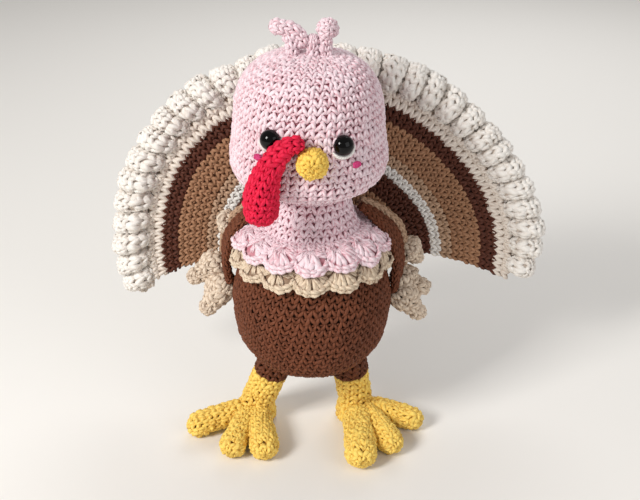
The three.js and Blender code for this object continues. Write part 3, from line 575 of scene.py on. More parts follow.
# Filling inside the head and the body, lumpy like teased fibre
FILLING_DEPTH = -3.2 * MM
for name, skin in (("head", head), ("body", torso)):
    lumpy = skin.part(0, skin.length)
    lumpy.lump_size, lumpy.lump_height = 17 * MM, 0.5 * MM
    inside = [inner_skin(lumpy, FILLING_DEPTH)]
    filling = piece(f"{name}_fibre", inside, "fibre", "root", [f"{name}_stuffing"])

# The head group is turned a little to the viewer's left
FACE_TURN = math.radians(-1)


def in_head(points):
    """Points given round the head's own axis, in the frame."""
    points = np.atleast_2d(np.array(points, float))
    cos, sin = math.cos(FACE_TURN), math.sin(FACE_TURN)
    x = points[:, 0] * cos - points[:, 1] * sin
    y = points[:, 0] * sin + points[:, 1] * cos
    return np.column_stack([x + head_middle[0], y + head_middle[1], points[:, 2]])


def turned_in_head(vector):
    return (in_head([vector]) - in_head([(0, 0, 0)]))[0]


# Tubes and balls worked in small rounds; nothing of them reaches below the sole
FINGER = {"width": 4.6 * MM, "height": 3.8 * MM, "yarn": 0.95 * MM, "wobble": 0.12, "sink": 1.5}
FINGER_INNER = 0.85
SOLE = 0.05 * MM


def finger(node, skins, finish, body="root", name=None, **own):
    """Small stuffed tube, or several joined ones, covered with stitches."""
    sizes = FINGER | own
    width, height, yarn = sizes["width"], sizes["height"], sizes["yarn"]
    shape = vee(width, height, yarn)
    parts = []
    for skin in skins:
        skin.sink = yarn * sizes["sink"]
        parts.append(inner_skin(skin, -yarn * FINGER_INNER, sides=28, step=1.2 * MM))
        anchors = rounds(skin, width, height)
        parts.append(lay(skin.place, anchors, shape, wobble=sizes["wobble"], spread=0.1, shade=0.18))
    for points, *_ in parts:
        points[:, 2] = np.maximum(points[:, 2], SOLE)
    made = piece(name or f"{node}_crochet", parts, finish, body, [node])


# Snood, hinged beside the beak: share of its reach, of its drop and of its radius
SNOOD_SHARES = np.array(
    (
        *((0.045, 0, 0.49), (0.235, 0, 0.5), (0.425, 0.037, 0.545), (0.635, 0.153, 0.65)),
        *((0.815, 0.316, 0.795), (0.94, 0.502, 0.93), (1, 0.712, 1), (0.983, 1, 0.966)),
    )
)
SNOOD_REACH = 23 * MM
SNOOD_DROP = 43 * MM
SNOOD_RADIUS = 8.8 * MM
SNOOD_ROOT_RISE = 39.1 * MM
SNOOD_CLEARANCE = 1.2 * MM
HEAD_BOTTOM = 157.5 * MM
HEAD_WIDEST = HEAD_BOTTOM + 0.23 * 72.8 * MM
side = -SNOOD_SHARES[:, 0] * SNOOD_REACH
height = HEAD_BOTTOM + SNOOD_ROOT_RISE - SNOOD_SHARES[:, 1] * SNOOD_DROP
radii = SNOOD_SHARES[:, 2] * SNOOD_RADIUS
reach = profile_radius(head_profile, np.maximum(height, HEAD_WIDEST)) + radii + SNOOD_CLEARANCE
snood_route = in_head(np.column_stack([side, -np.sqrt(reach**2 - side**2), height]))
finger("snood", [tubed(snood_route, radii, BACK)], "red", "snood", yarn=1.08 * MM, wobble=0.2)

# Beak, worked from its tip inwards
BEAK_STITCHES = {"yarn": 1.3 * MM, "wobble": 0.3}
BEAK_RADIUS = 7.9 * MM
BEAK_AZIMUTH = math.radians(3.5)
BEAK_HEIGHT = HEAD_BOTTOM + 28.7 * MM
BEAK_SINK_SHARE = 0.28
BEAK_TILT = np.array((-0.15, 0, 0.2))
beak_out = np.array((math.sin(BEAK_AZIMUTH), -math.cos(BEAK_AZIMUTH), 0))
beak_reach = profile_radius(head_profile, BEAK_HEIGHT) + BEAK_RADIUS * (1 - BEAK_SINK_SHARE * 2)
beak_centre = in_head([beak_out * beak_reach + UP * BEAK_HEIGHT])[0]
beak_skin = ball(beak_centre, turned_in_head(beak_out) + BEAK_TILT, BEAK_RADIUS, UP)
finger("beak", [beak_skin], "beak", **BEAK_STITCHES)

# Tuft of curls on the crown, as shares of its reach and height
TUFT_STITCHES = {"width": 4.2 * MM, "height": 3.6 * MM, "yarn": 1.05 * MM, "wobble": 0.24}
TUFT_REACH = 19.6 * MM
TUFT_HEIGHT = 14.6 * MM
TUFT_FORWARD = 3 * MM
TUFT_STRAND = 3.3 * MM
TUFT_SWELL = 0.7 * MM
TUFT_CURL = 5.4 * MM
crown = head_high[2]


def tuft_route(shares):
    return in_head([(x * TUFT_REACH, -TUFT_FORWARD, crown + z * TUFT_HEIGHT) for x, z in shares])


def tuft_strand(shares, radius=TUFT_STRAND):
    return tubed(tuft_route(shares), [radius] * len(shares), BACK, count=60)


left_bar = tuft_strand(((-0.05, 0.24), (-0.28, 0.65), (-0.56, 0.865), (-1, 1)), TUFT_STRAND + TUFT_SWELL)
left_lobe = tuft_strand(((-0.39, -0.2), (-0.44, 0.34), (-0.59, 0.85)))
middle_nub = tuft_strand(((0.133, -0.2), (0.12, 0.25), (0.112, 0.67)))
right_stem = tuft_strand(((0.47, -0.24), (0.44, 0.48), (0.49, 0.89)))
right_curl = ball(tuft_route([(0.5, 0.877)])[0], (0.3, -0.8, 0.5), TUFT_CURL, (1, 0, 0.2))
tuft = {"left": [left_bar, left_lobe], "middle": [middle_nub], "right": [right_stem, right_curl]}
for name, skins in tuft.items():
    finger(f"tuft_{name}", skins, "pink", **TUFT_STITCHES)

# Eyes, the white strands under them and the sewn cheeks
EYE_RISE = 37.3 * MM
EYE_AZIMUTH = math.radians(26)
EYE_RADIUS = 5.3 * MM
EYE_DOME = 4.9 * MM
EYE_RIM = 0.6 * MM
EYE_LIFT = 0.45 * MM
EYE_SHANK_RADIUS = 2 * MM
EYE_SHANK_LENGTH = 11 * MM
SEAM = 0.3 * MM
WHITE_STRAND = 0.95 * MM
WHITE_POINTS = 24
CHEEK_AZIMUTH = math.radians(36)
CHEEK_RISE = 26.3 * MM
CHEEK_WIDTH = 4.6 * MM
CHEEK_TALL = 3.0 * MM
CHEEK_STRAND = 0.62 * MM
FACE_ROLL = math.radians(4)
SLOPE_STEP = 2 * MM
LATHE_SIDES = 48
STRAND_SIDES = 8


def face_place(azimuth, rise):
    """Point on the head, and the directions to the right, up along the skin and straight out."""
    height = HEAD_BOTTOM + rise - HEAD_RADIUS * math.sin(azimuth) * math.tan(FACE_ROLL)
    heights = height + np.array((0, SLOPE_STEP, -SLOPE_STEP))
    radius, above, below = profile_radius(head_profile, heights)
    lean = math.atan2(-(above - below), 2 * SLOPE_STEP)
    sin, cos = math.sin(azimuth), -math.cos(azimuth)
    point = in_head([(radius * sin, radius * cos, height)])[0]
    out = turned_in_head(np.array((sin * math.cos(lean), cos * math.cos(lean), math.sin(lean))))
    right = unit(np.cross(UP, out))
    return point, right, np.cross(out, right), out


def lathe(profile, centre, right, up, out):
    """Closed skin turned round the out direction; each row is a radius and a lift."""
    turn = np.linspace(0, 2 * math.pi, LATHE_SIDES, endpoint=False)[:, None]
    ring = np.cos(turn) * right + np.sin(turn) * up
    points = np.vstack([centre + ring * max(r, 1e-6) + out * z for r, z in profile])
    return plain(points, grid(len(profile), LATHE_SIDES, closed=True)[0], 1.0)


def strand(points, radii, tones=1.0, turns=1.0):
    """Single yarn along a route, with its twist in the yarn coordinates."""
    ahead = unit(np.gradient(points, axis=0))
    first = unit(np.cross(ahead, (0.31, 0.17, 0.93)))
    second = np.cross(ahead, first)
    turn = np.linspace(0, 2 * math.pi, STRAND_SIDES, endpoint=False)[:, None]
    ring = np.cos(turn) * first[:, None] + np.sin(turn) * second[:, None]
    made = (points[:, None] + ring * radii[:, None, None]).reshape(-1, 3)
    return made, *grid(len(points), STRAND_SIDES, True, turns), np.full(len(made), tones)


dome_turn = np.linspace(0, math.pi / 2, 16)
dome = [(EYE_RADIUS * math.cos(t), SEAM + EYE_RIM + EYE_DOME * math.sin(t)) for t in dome_turn]
eye_profile = [(0, SEAM - EYE_SHANK_LENGTH), (EYE_SHANK_RADIUS, SEAM - EYE_SHANK_LENGTH)]
eye_profile += [(EYE_SHANK_RADIUS, SEAM), (EYE_RADIUS * 0.96, SEAM), (EYE_RADIUS, SEAM + 0.15 * MM), *dome]
for name, sign, white_end in (("left", -1, 255), ("right", 1, 335)):
    point, right, up, out = face_place(sign * EYE_AZIMUTH, EYE_RISE)
    eye = lathe(eye_profile, point + out * EYE_LIFT, right, up, out)
    piece(f"{name}_eye_dome", [eye], "eye", "root", [f"{name}_eye"])

    turn = np.radians(np.linspace(190, white_end, WHITE_POINTS))
    reach = EYE_RADIUS + SEAM + WHITE_STRAND * 0.8
    sideways = -sign * reach * np.cos(turn)
    lift = WHITE_STRAND * 0.7 + SEAM + EYE_LIFT - sideways**2 / (2 * HEAD_RADIUS)
    route = point + np.outer(sideways, right) + np.outer(reach * np.sin(turn), up) + np.outer(lift, out)
    from_start = np.arange(WHITE_POINTS)
    taper = np.sqrt(np.clip(np.minimum(from_start, from_start[::-1]) / 4, 0.12, 1))
    floss = strand(route, WHITE_STRAND * taper, turns=5)
    piece(f"{name}_eye_crescent", [floss], "white", "root", [f"{name}_eye_white"])

    point, right, up, out = face_place(sign * CHEEK_AZIMUTH, CHEEK_RISE)
    parts = []
    s = np.linspace(-1, 1, 9)
    bow = 0.8 * MM * (1 - s**4) + 0.6 * MM
    for k, share in enumerate(np.linspace(-1, 1, 5)):
        tall = CHEEK_TALL / 2 * math.sqrt(1.15 - share**2 * 0.7)
        away = CHEEK_WIDTH / 2 * share * 0.8
        route = point + right * away + np.outer(s * tall, up) + np.outer(bow, out)
        parts.append(strand(route, CHEEK_STRAND * (1.05 - 0.35 * s**4), tones=0.95 - 0.1 * (k % 2)))
    piece(f"{name}_cheek_stitches", parts, "rose", "root", [f"{name}_cheek"])

# Legs: places of hip and ankle as shares of the belly's radius, then each toe's reach and radius
LEGS = {
    "left": (
        (-0.42, -0.067),
        (-0.781, 0.022),
        {"inner": (0.155, -0.82, 0.93), "middle": (-0.233, -0.776, 0.84), "outer": (-0.697, -0.371, 0.82)},
    ),
    "right": (
        (0.465, -0.067),
        (0.603, 0.067),
        {"inner": (0.026, -1, 1), "middle": (0.397, -0.741, 0.865), "outer": (0.705, -0.267, 0.785)},
    ),
}
TOE_STITCHES = {"width": 4.8 * MM, "height": 3.9 * MM, "yarn": 1.22 * MM, "wobble": 0.42}
LEG_RADIUS = 9.9 * MM
CUFF_RADIUS = 10.3 * MM
CUFF_BOTTOM = 35.5 * MM
HIP_HEIGHT = 52 * MM
ANKLE_HEIGHT = 9.5 * MM
FOOT_RADIUS = 12.5 * MM
FOOT_HEIGHT = 15 * MM
FOOT_SHARES = ((0, 0), (0.8, 0.02), (1, 0.3), (0.93, 0.6), (0.7, 0.88), (0, 1))
TOE_RADIUS = 8.8 * MM
TOE_REACH = 56.3 * MM
SOLE_CUT = 0.5 * MM
LEG_HEIGHTS = (8 * MM, 22 * MM, CUFF_BOTTOM + 1 * MM)
CUFF_HEIGHTS = (CUFF_BOTTOM, CUFF_BOTTOM + 9 * MM, CUFF_BOTTOM + 18 * MM)


def under_belly(shares, height):
    return AXIS + np.array((*(np.array(shares) * BELLY_RADIUS), height))


def leg_tube(ankle, hip, heights, radius):
    """Open tube on the line from the ankle to the hip, through the heights."""
    route = [ankle + (hip - ankle) * (h - ANKLE_HEIGHT) / (HIP_HEIGHT - ANKLE_HEIGHT) for h in heights]
    return tubed(route, [radius] * 3, BACK, capped=False)


for name, (hip_shares, ankle_shares, toes) in LEGS.items():
    hip, ankle = under_belly(hip_shares, HIP_HEIGHT), under_belly(ankle_shares, ANKLE_HEIGHT)
    finger(f"{name}_leg", [leg_tube(ankle, hip, LEG_HEIGHTS, LEG_RADIUS)], "yellow", **TOE_STITCHES)
    cuff = leg_tube(ankle, hip, CUFF_HEIGHTS, CUFF_RADIUS)
    finger(f"{name}_leg_cuff", [cuff], "cuff_brown", name=f"{name}_cuff_crochet")
    foot_profile = profile_of(FOOT_SHARES, FOOT_RADIUS, FOOT_HEIGHT, 0, 80)
    foot = revolved((ankle[0], ankle[1], -SOLE_CUT), foot_profile)
    finger(f"{name}_foot", [foot], "yellow", **TOE_STITCHES)
    for toe_name, (aside, forth, radius_share) in toes.items():
        radius = TOE_RADIUS * radius_share
        tip = np.array((ankle[0], ankle[1], radius - SOLE_CUT))
        tip[:2] += np.array((aside, forth)) * TOE_REACH
        knuckle = (ankle + tip) / 2
        knuckle[2] = ankle[2] + (tip[2] - ankle[2]) * 0.4
        route = [tip, (tip + knuckle) / 2, knuckle, ankle + (knuckle - ankle) * 0.25]
        toe = tubed(route, np.array((1, 1, 1, 0.9)) * radius, UP)
        finger(f"{name}_toe_{toe_name}", [toe], "yellow", **TOE_STITCHES)

# Cloths: sheets of crochet given as a surface of a share along them and a distance across them
# Low tone of the cloth under the stitches: painted shade seen through the gaps
SLAB_SHADE_TONE = 0.3


class Cloth:
    """Sheet with stitches on both faces; face() gives the places off either one."""

    def __init__(self, surface, thickness):
        self.surface, self.thickness = surface, thickness

    def normal(self, u, along):
        du, da = 1e-4, 2e-5
        one = self.surface(u + du, along) - self.surface(u - du, along)
        two = self.surface(u, along + da) - self.surface(u, along - da)
        return unit(np.cross(one, two))

    def face(self, sign):
        def place(u, along, lift):
            points, normal = self.surface(u, along), self.normal(u, along)
            return points + normal * (sign * (self.thickness / 2 + lift))[:, None]

        return place

    def slab(self, us, alongs):
        """Closed slab over a grid; alongs gives each u its row of distances across."""
        nu, na = len(us), alongs.shape[1]
        u, along, level = np.repeat(us, na), alongs.ravel(), np.zeros(nu * na)
        points = np.vstack([self.face(1)(u, along, level), self.face(-1)(u, along, level)])
        top = grid(nu, na)[0]
        k = np.concatenate([np.arange(na - 1), (np.arange(nu - 1) + 1) * na - 1])
        k = np.concatenate([k, np.arange(nu * na - 1, (nu - 1) * na, -1), np.arange((nu - 1) * na, 0, -na)])
        after = np.roll(k, -1)
        walls = np.stack([k, after, after + nu * na, k + nu * na], axis=-1)
        return plain(points, np.vstack([top, top[:, ::-1] + nu * na, walls]), SLAB_SHADE_TONE)

    def rim(self, us, edge, tilt):
        """Places along an edge: x runs along it in metres, lift goes outward and by the tilt forward."""
        line = self.surface(us, edge(us))
        travel = running(gaps(line))
        du = (us[-1] - us[0]) / (len(us) * 4)

        def place(x, y, lift):
            u = np.interp(x, travel, us)
            ahead = unit(self.surface(u + du, edge(u + du)) - self.surface(u - du, edge(u - du)))
            normal = self.normal(u, edge(u))
            out = unit(np.cross(ahead, normal))
            inward = self.surface(u, edge(u)) - self.surface(u, edge(u) - 0.2 * MM)
            out = out * np.sign((out * inward).sum(axis=1))[:, None]
            sideways = normal * math.cos(tilt) + out * math.sin(tilt)
            outward = out * math.cos(tilt) - normal * math.sin(tilt)
            return self.surface(u, edge(u)) + sideways * y[:, None] + outward * lift[:, None]

        return place, travel[-1]

    def area(self, us, alongs):
        grid = self.surface(np.repeat(us, alongs.shape[1]), alongs.ravel()).reshape(len(us), -1, 3)
        one, two = grid[1:, :-1] - grid[:-1, :-1], grid[:-1, 1:] - grid[:-1, :-1]
        return np.linalg.norm(np.cross(one, two), axis=-1).sum()


def sheet_piece(node, cloth, us, alongs, finish, layers):
    """Slab of the sheet, with its stitches as pieces of their own: name, parts, finish and any own slot."""
    slab = piece(f"{node}_cloth", [cloth.slab(us, alongs)], finish, "root", [node])
    covers = [piece(name, parts, own, "root", (), *slot) for name, parts, own, *slot in layers]
    area = cloth.area(us, alongs)


# Fan tail: rings between two radii in mm; stitches by width, height, yarn and overlap of the first row
RINGS = (
    ("core", 1.5, 49, "tan"),
    ("ring_inner_brown", 49, 62.5, "dark_brown"),
    ("ring_white", 62.5, 68.5, "white"),
    ("ring_tan", 68.5, 93, "tan"),
    ("ring_outer_brown", 93, 103.5, "dark_brown"),
    ("ring_cream", 103.5, 111.5, "ring_cream"),
)
FAN_STITCHES = (4.7 * MM, 3.6 * MM, 1.0 * MM, 0.3 * MM)
CREAM_STITCHES = (4.9 * MM, 4.0 * MM, 1.25 * MM, 1.7 * MM)
FAN_UNEVEN = {"wobble": 0.1, "spread": 0.07}
LIGHT_ROWS = 7 * MM
RING_GAP = 0.15 * MM
FAN = AXIS + np.array((10.5, 45.1, 92.5)) * MM
FAN_CORE = 49 * MM
FAN_RUFFLE = 129 * MM
FAN_CUP = 5 * MM
FAN_THICKNESS = 3.2 * MM
FAN_LOP = 0.038
FAN_DROOP = math.radians(12)
ROW_SHIFT = 0.12


def fan_point(radius, share, droop_right, droop_left, depth):
    rise = np.maximum((radius - FAN_CORE) / (FAN_RUFFLE - FAN_CORE), 0)
    turn = -droop_right * rise + (math.pi + (droop_left + droop_right) * rise) * share
    lop = FAN_LOP * np.sin(turn * 2) * np.abs(np.sin(turn * 2))
    reach = radius * (1 - lop)
    return FAN + np.column_stack([reach * np.cos(turn), depth - FAN_CUP * rise**2, reach * np.sin(turn)])


def fan_surface(share, radius):
    """Mid-surface of the flat rings. The share runs from the right end to the left end."""
    return fan_point(radius, share, FAN_DROOP, FAN_DROOP, np.full(np.shape(share), FAN_THICKNESS / 2))


def fan_rows(start, end, width, height, overlap=0.0):
    """Anchors of half rounds between two radii, the stitches in step from row to row."""
    count = max(1, round((end - start) / height))
    pitch = (end - start) / count
    rows = []
    for k in range(count):
        radius = start + k * pitch
        rise = max((radius - FAN_CORE) / (FAN_RUFFLE - FAN_CORE), 0)
        length = (math.pi + 2 * FAN_DROOP * rise) * (radius + pitch / 2)
        stitches = max(3, round(length / width))
        share = (np.arange(stitches) + 0.5 + ROW_SHIFT * (k % 2)) / (stitches + ROW_SHIFT)
        under = overlap if k == 0 else 0
        tall = (pitch + under) / pitch
        rows.append(anchor_row(share, radius - under, 1 / length, length / stitches / width, tall))
    return np.vstack(rows)


fan = Cloth(fan_surface, FAN_THICKNESS - 2.2 * MM)
for name, low, high, finish in RINGS:
    low, high = low * MM, high * MM
    us = np.linspace(0, 1, 97)
    alongs = np.tile(np.linspace(low + RING_GAP, high - RING_GAP, 6), (len(us), 1))
    width, height, yarn, overlap = CREAM_STITCHES if name == "ring_cream" else FAN_STITCHES
    shape = vee(width, height, yarn, lean=0.05)
    layers = []
    for side_name, sign in (("front", -1), ("back", 1)):
        place, start, under = fan.face(sign), low, overlap
        if name == "ring_tan":
            start, under = low + LIGHT_ROWS, 0.0
            light = lay(place, fan_rows(low, start, width, height, overlap), shape, **FAN_UNEVEN)
            layers.append((f"fan_{name}_{side_name}_light_stitches", [light], "pale_tan", "beige_yarn"))
        work = lay(place, fan_rows(start, high, width, height, under), shape, **FAN_UNEVEN)
        layers.append((f"fan_{name}_{side_name}_stitches", [work], finish))
    sheet_piece(f"fan_{name}", fan, us, alongs, finish, layers)

# Ruffle: one long strip gathered into fat lobes that roll back at their rim
FOLDS = 31
RUFFLE_INNER = 111.6 * MM
RUFFLE_WIDTH = 20.5 * MM
RUFFLE_DROOP_LEFT = math.radians(15)
RUFFLE_DROOP_RIGHT = math.radians(6)
RUFFLE_SWING = 1.5
RUFFLE_DEPTH = 0.95
RUFFLE_CLOTH = 1.4 * MM
RUFFLE_SCALLOP = 9 * MM
RUFFLE_OVERHANG = 3.2 * MM
RUFFLE_PITCH = math.pi * 1.12
RUFFLE_ROW = RUFFLE_WIDTH / 6
RUFFLE_STITCH = 3.5 * MM
RUFFLE_YARN = 0.92 * MM * 1.25
STITCHES_PER_FOLD = (4, 5, 6, 7, 8, 8)
LOBE_SHARE = 0.66
ROLL_START = 0.42
ROLL_TURN = 1.3
# Stitches darken towards the creases between the lobes as painted shade, down to this share of their tone
CREASE_SHADE_TONE = 0.42
RIGHT_TAPER = 5 * MM
LEAN_SHIFT = 0.04
LEAN_DEPTH = 0.8
SWINGS = np.linspace(0, 1, 25)
fold_line = np.linspace(0, 1, 129)


def meander(swing):
    """Sideways progress and depth along one fold of unit pitch: a wide lobe, then a tight crease."""
    lobe_turn = fold_line / LOBE_SHARE
    crease_turn = 1 + (fold_line - LOBE_SHARE) / (1 - LOBE_SHARE)
    direction = swing * np.cos(math.pi * np.where(fold_line < LOBE_SHARE, lobe_turn, crease_turn))
    x = running(np.cos(direction[1:]) + np.cos(direction[:-1]))
    y = running(np.sin(direction[1:]) + np.sin(direction[:-1]))
    return x / x[-1], y / x[-1]


meander_x, meander_y = (np.array(rows) for rows in zip(*(meander(RUFFLE_SWING * s) for s in SWINGS)))
fold_size = rng.normal(1, 0.2, FOLDS + 1)
fold_lean = rng.normal(0, 2.2, FOLDS + 1)


def between(rows, row, column):
    """Values between the rows and columns of a grid."""
    r0 = np.clip(row.astype(int), 0, rows.shape[0] - 2)
    c0 = np.clip(column.astype(int), 0, rows.shape[1] - 2)
    fr, fc = row - r0, column - c0
    low = rows[r0, c0] * (1 - fc) + rows[r0, c0 + 1] * fc
    high = rows[r0 + 1, c0] * (1 - fc) + rows[r0 + 1, c0 + 1] * fc
    return low * (1 - fr) + high * fr


def crest_at(phase):
    """How near a phase of a fold is to the middle of its lobe, from 0 to 1."""
    return np.abs(np.cos((phase - LOBE_SHARE / 2) * math.pi))


def ruffle_surface(u, along):
    """The share runs along the strip from the right end, in a lobe forward and a crease back."""
    t = np.clip(along / RUFFLE_WIDTH, 0, 1.1)
    fold = np.clip(np.floor(u * FOLDS), 0, FOLDS - 1)
    phase = u * FOLDS - fold
    inside = np.clip(phase, 0, 1)
    row = np.clip(t * 2.8, 0, 1) ** 0.75 * (len(SWINGS) - 1)
    column = inside * (len(fold_line) - 1)
    x = between(meander_x, row, column) + (phase - inside)
    y = between(meander_y, row, column)
    k = fold.astype(int)
    size, lean = (own[k] * (1 - inside) + own[k + 1] * inside for own in (fold_size, fold_lean))
    crest = crest_at(phase)
    roll = np.clip((t - ROLL_START) / (1 - ROLL_START), 0, 1.2)
    turn = np.maximum(ROLL_TURN * crest * roll, 1e-4)
    reach = np.minimum(t, ROLL_START) + (1 - ROLL_START) * roll * np.sin(turn) / turn
    back = (1 - ROLL_START) * roll * (1 - np.cos(turn)) / turn
    pitch = RUFFLE_PITCH * (RUFFLE_INNER + along) / FOLDS
    radius = RUFFLE_INNER + RUFFLE_WIDTH * reach * (1 + 0.3 * t * (size - 1))
    radius -= RUFFLE_SCALLOP * t * (1 - crest)
    radius -= RUFFLE_OVERHANG * crest**2 * np.sin(math.pi * np.clip(t * 2, 0, 1))
    radius -= RIGHT_TAPER * t * np.clip(1 - u * FOLDS / 2, 0, 1)
    depth = FAN_THICKNESS / 2 - y * pitch * size * RUFFLE_DEPTH + RUFFLE_WIDTH * back
    depth = depth + lean * LEAN_DEPTH * MM * t
    share = (fold + x + (0.25 - LOBE_SHARE / 2) + lean * LEAN_SHIFT * t) / FOLDS
    return fan_point(radius, share, RUFFLE_DROOP_RIGHT, RUFFLE_DROOP_LEFT, depth)


ruffle = Cloth(ruffle_surface, RUFFLE_CLOTH)


def strip_rows(start, per_fold):
    """Anchors of stitches along the ruffle, evenly spaced along the strip."""
    total = FOLDS * per_fold
    probe = np.linspace(0, 1, FOLDS * 64)
    length = gaps(ruffle.surface(probe, np.full(len(probe), start + RUFFLE_ROW / 2))).sum()
    share = (np.arange(total) + rng.normal(0.5, 0.06, total)) / total
    along = start + rng.normal(0, 0.35 * MM, total)
    return anchor_row(share, along, 1 / length, length / total / RUFFLE_STITCH)


strip_line = np.linspace(0.0005, 0.9995, FOLDS * 48 + 1)
on_rim, travel = ruffle.rim(strip_line, lambda u: np.full(np.shape(u), RUFFLE_WIDTH), 0.3)
rim_chain = chained(on_rim, travel, 3.6 * MM, 3.0 * MM, 0.95 * MM)
layers = [("fan_ruffle_rim_chain", [rim_chain], "cream")]
ruffle_stitch = vee(RUFFLE_STITCH, RUFFLE_ROW, RUFFLE_YARN, lean=0.1, bar=0)
for side_name, sign in (("front", -1), ("back", 1)):
    parts = []
    for row, per_fold in enumerate(STITCHES_PER_FOLD):
        anchors = strip_rows(row * RUFFLE_ROW, per_fold)
        # Painted shade: each stitch is darker the nearer it lies to a crease
        painted_shade = CREASE_SHADE_TONE + (1 - CREASE_SHADE_TONE) * crest_at(anchors[:, 0] * FOLDS % 1)
        parts.append(lay(ruffle.face(sign), anchors, ruffle_stitch, wobble=0.16, spread=0.1, painted_shade=painted_shade))
    layers.append((f"fan_ruffle_{side_name}_stitches", parts, "cream"))
us = np.linspace(0, 1, FOLDS * 20 + 1)
alongs = np.tile(np.linspace(0, RUFFLE_WIDTH, 10), (len(us), 1))
sheet_piece("fan_ruffle", ruffle, us, alongs, "cream", layers)

# Wings: flattened tubes worked downward, as shares of reach, drop and width, with beige feathers
WING_SHARES = (
    *((0, 0, 0.47), (0.32, 0.1, 0.706), (0.63, 0.24, 0.882), (0.88, 0.43, 1)),
    *((1, 0.65, 0.94), (1, 0.84, 0.706), (0.95, 1, 0.412)),
)
WING_THICKNESS = 4.6 * MM
WING_HINGE = np.array((26.4, 1, 143.2)) * MM
WING_REACH = 21.5 * MM
WING_DROP = {"left": 49 * MM, "right": 55 * MM}
WING_WIDTH = 17 * MM
WING_RIM = 8 * MM
WING_FRONT = 3 * MM
WING_FLARE = {"left": math.radians(11), "right": math.radians(20)}
FLARE_RISE = 0.4
FEATHER_RADIUS = 7.9 * MM
FEATHER_REACH = 16 * MM
FEATHER_SHARES = (0.76, 1, 0.9, 0.54, 0.66)
FEATHER_STITCHES = {"width": 4.8 * MM, "height": 4.0 * MM, "yarn": 1.3 * MM, "wobble": 0.3, "sink": 0.6}
# Each feather's start down the wing, its bend and its knob: outward, backward and down
FEATHERS = {
    "left": (
        (0.42, (0.12, 0.1, 0.12), (0.3, 0.1, 0.5)),
        (0.8, (0.6, -0.05, 0.42), (1.32, -0.2, 0.8)),
        (0.97, (0.42, -0.25, 0.7), (0.88, -0.5, 1.32)),
    ),
    "right": (
        (0.62, (0.25, 0.125, 0.31), (0.625, 0.125, 0.69)),
        (0.82, (0.25, -0.125, 0.5), (0.97, -0.25, 0.75)),
        (0.97, (0.36, -0.22, 0.61), (0.88, -0.44, 1.2)),
    ),
}


def wing_lines(name, sign, count=140):
    """Centre, width and the direction across a wing, at even shares down it."""
    rows = smooth(WING_SHARES, count)
    aside, down = sign * rows[:, 0] * WING_REACH, rows[:, 1] * WING_DROP[name]
    centre = np.column_stack([aside, np.zeros(count), -down]) + (AXIS + WING_HINGE * (sign, 1, 1))
    turn = WING_FLARE[name]
    flare = sign * math.sin(turn) * np.minimum(np.linspace(0, 1, count) / FLARE_RISE, 1)
    across = np.column_stack([flare, np.full(count, math.cos(turn)), np.zeros(count)])
    return centre, rows[:, 2] * WING_WIDTH, across


class Leaf(Skin):
    """Flattened tube: its section is a band with round edges, from one width to another."""

    lump_size, lump_height = 23 * MM, 0.35 * MM

    def __init__(self, centre, across, low, high, half):
        tangent = unit(np.gradient(centre, axis=0))
        self.middle = centre + across * ((low + high) / 2 - WING_FRONT)[:, None]
        self.across, self.normal = across, unit(np.cross(tangent, across))
        self.flat = np.maximum((high - low) / 2 - half, 0.1 * MM)
        self.along = running(gaps(centre))
        self.length, self.half = self.along[-1], half
        self.shrink = round_end(self.along, half) * round_end(self.length - self.along, half)

    def radius_at(self, along):
        half = self.half * self.at(self.shrink, along)
        return (4 * self.at(self.flat, along) + 2 * math.pi * half) / (2 * math.pi)

    def place(self, angle, along, lift):
        half, flat = self.half * self.at(self.shrink, along), self.at(self.flat, along)
        arc = math.pi * np.maximum(half, 0.1 * MM)
        q = np.mod(angle / (2 * math.pi), 1) * (2 * arc + 4 * flat)
        # The section in turn: edge, flat face, edge, and the other flat face
        stretches = [q < arc, q < arc + 2 * flat, q < 2 * arc + 2 * flat]
        turns = [q / arc * math.pi, np.full(len(q), math.pi), math.pi + (q - arc - 2 * flat) / arc * math.pi]
        turn = np.select(stretches, turns, 2 * math.pi)
        shift = np.select(stretches, [-flat, q - arc - flat, flat], flat - (q - 2 * arc - 2 * flat))
        across, normal = self.at(self.across, along), self.at(self.normal, along)
        out = -np.sin(turn)[:, None] * across + np.cos(turn)[:, None] * normal
        points = self.at(self.middle, along) + across * shift[:, None] + out * half[:, None]
        lift = lift - STITCH_YARN * YARN_SINK + self.lump_height * lumps(points, self.lump_size)
        return points + out * lift[:, None]


for name, sign in (("left", -1), ("right", 1)):
    centre, width, across = wing_lines(name, sign)
    body = f"{name}_wing"
    half = WING_THICKNESS / 2
    leaf = Leaf(centre, across, np.zeros(len(width)), width, half)
    rim = Leaf(centre, across, width + SEAM, width + SEAM + WING_RIM, half)
    skins = {"leaf": (leaf, "brown", body), "rim": (rim, "pale_tan", f"{body}_rim")}
    for part_name, (skin, finish, node) in skins.items():
        base = inner_skin(skin, SKIN_DEPTH, sides=40)
        slab = piece(f"{body}_{part_name}_cloth", [base], finish, body, [node])
        stitches = lay(skin.place, rounds(skin, STITCH_WIDTH, STITCH_HEIGHT, drift=0.02, group=2), single)
        cover = piece(f"{body}_{part_name}_stitches", [stitches], finish, body)
    for i, (start, bend, knob) in enumerate(FEATHERS[name]):
        row = int(start * (len(width) - 1))
        root = centre[row] + across[row] * (width[row] - WING_FRONT + WING_RIM / 2)
        steps = [np.array((sign * o, b, -d)) * FEATHER_REACH for o, b, d in (bend, knob)]
        route = smooth(np.array([root, root + steps[0], root + steps[1]]), 5)
        skin = tubed(route, np.array(FEATHER_SHARES) * FEATHER_RADIUS, BACK, count=60)
        finger(f"{name}_feather_{i + 1}", [skin], "beige", body, **FEATHER_STITCHES)

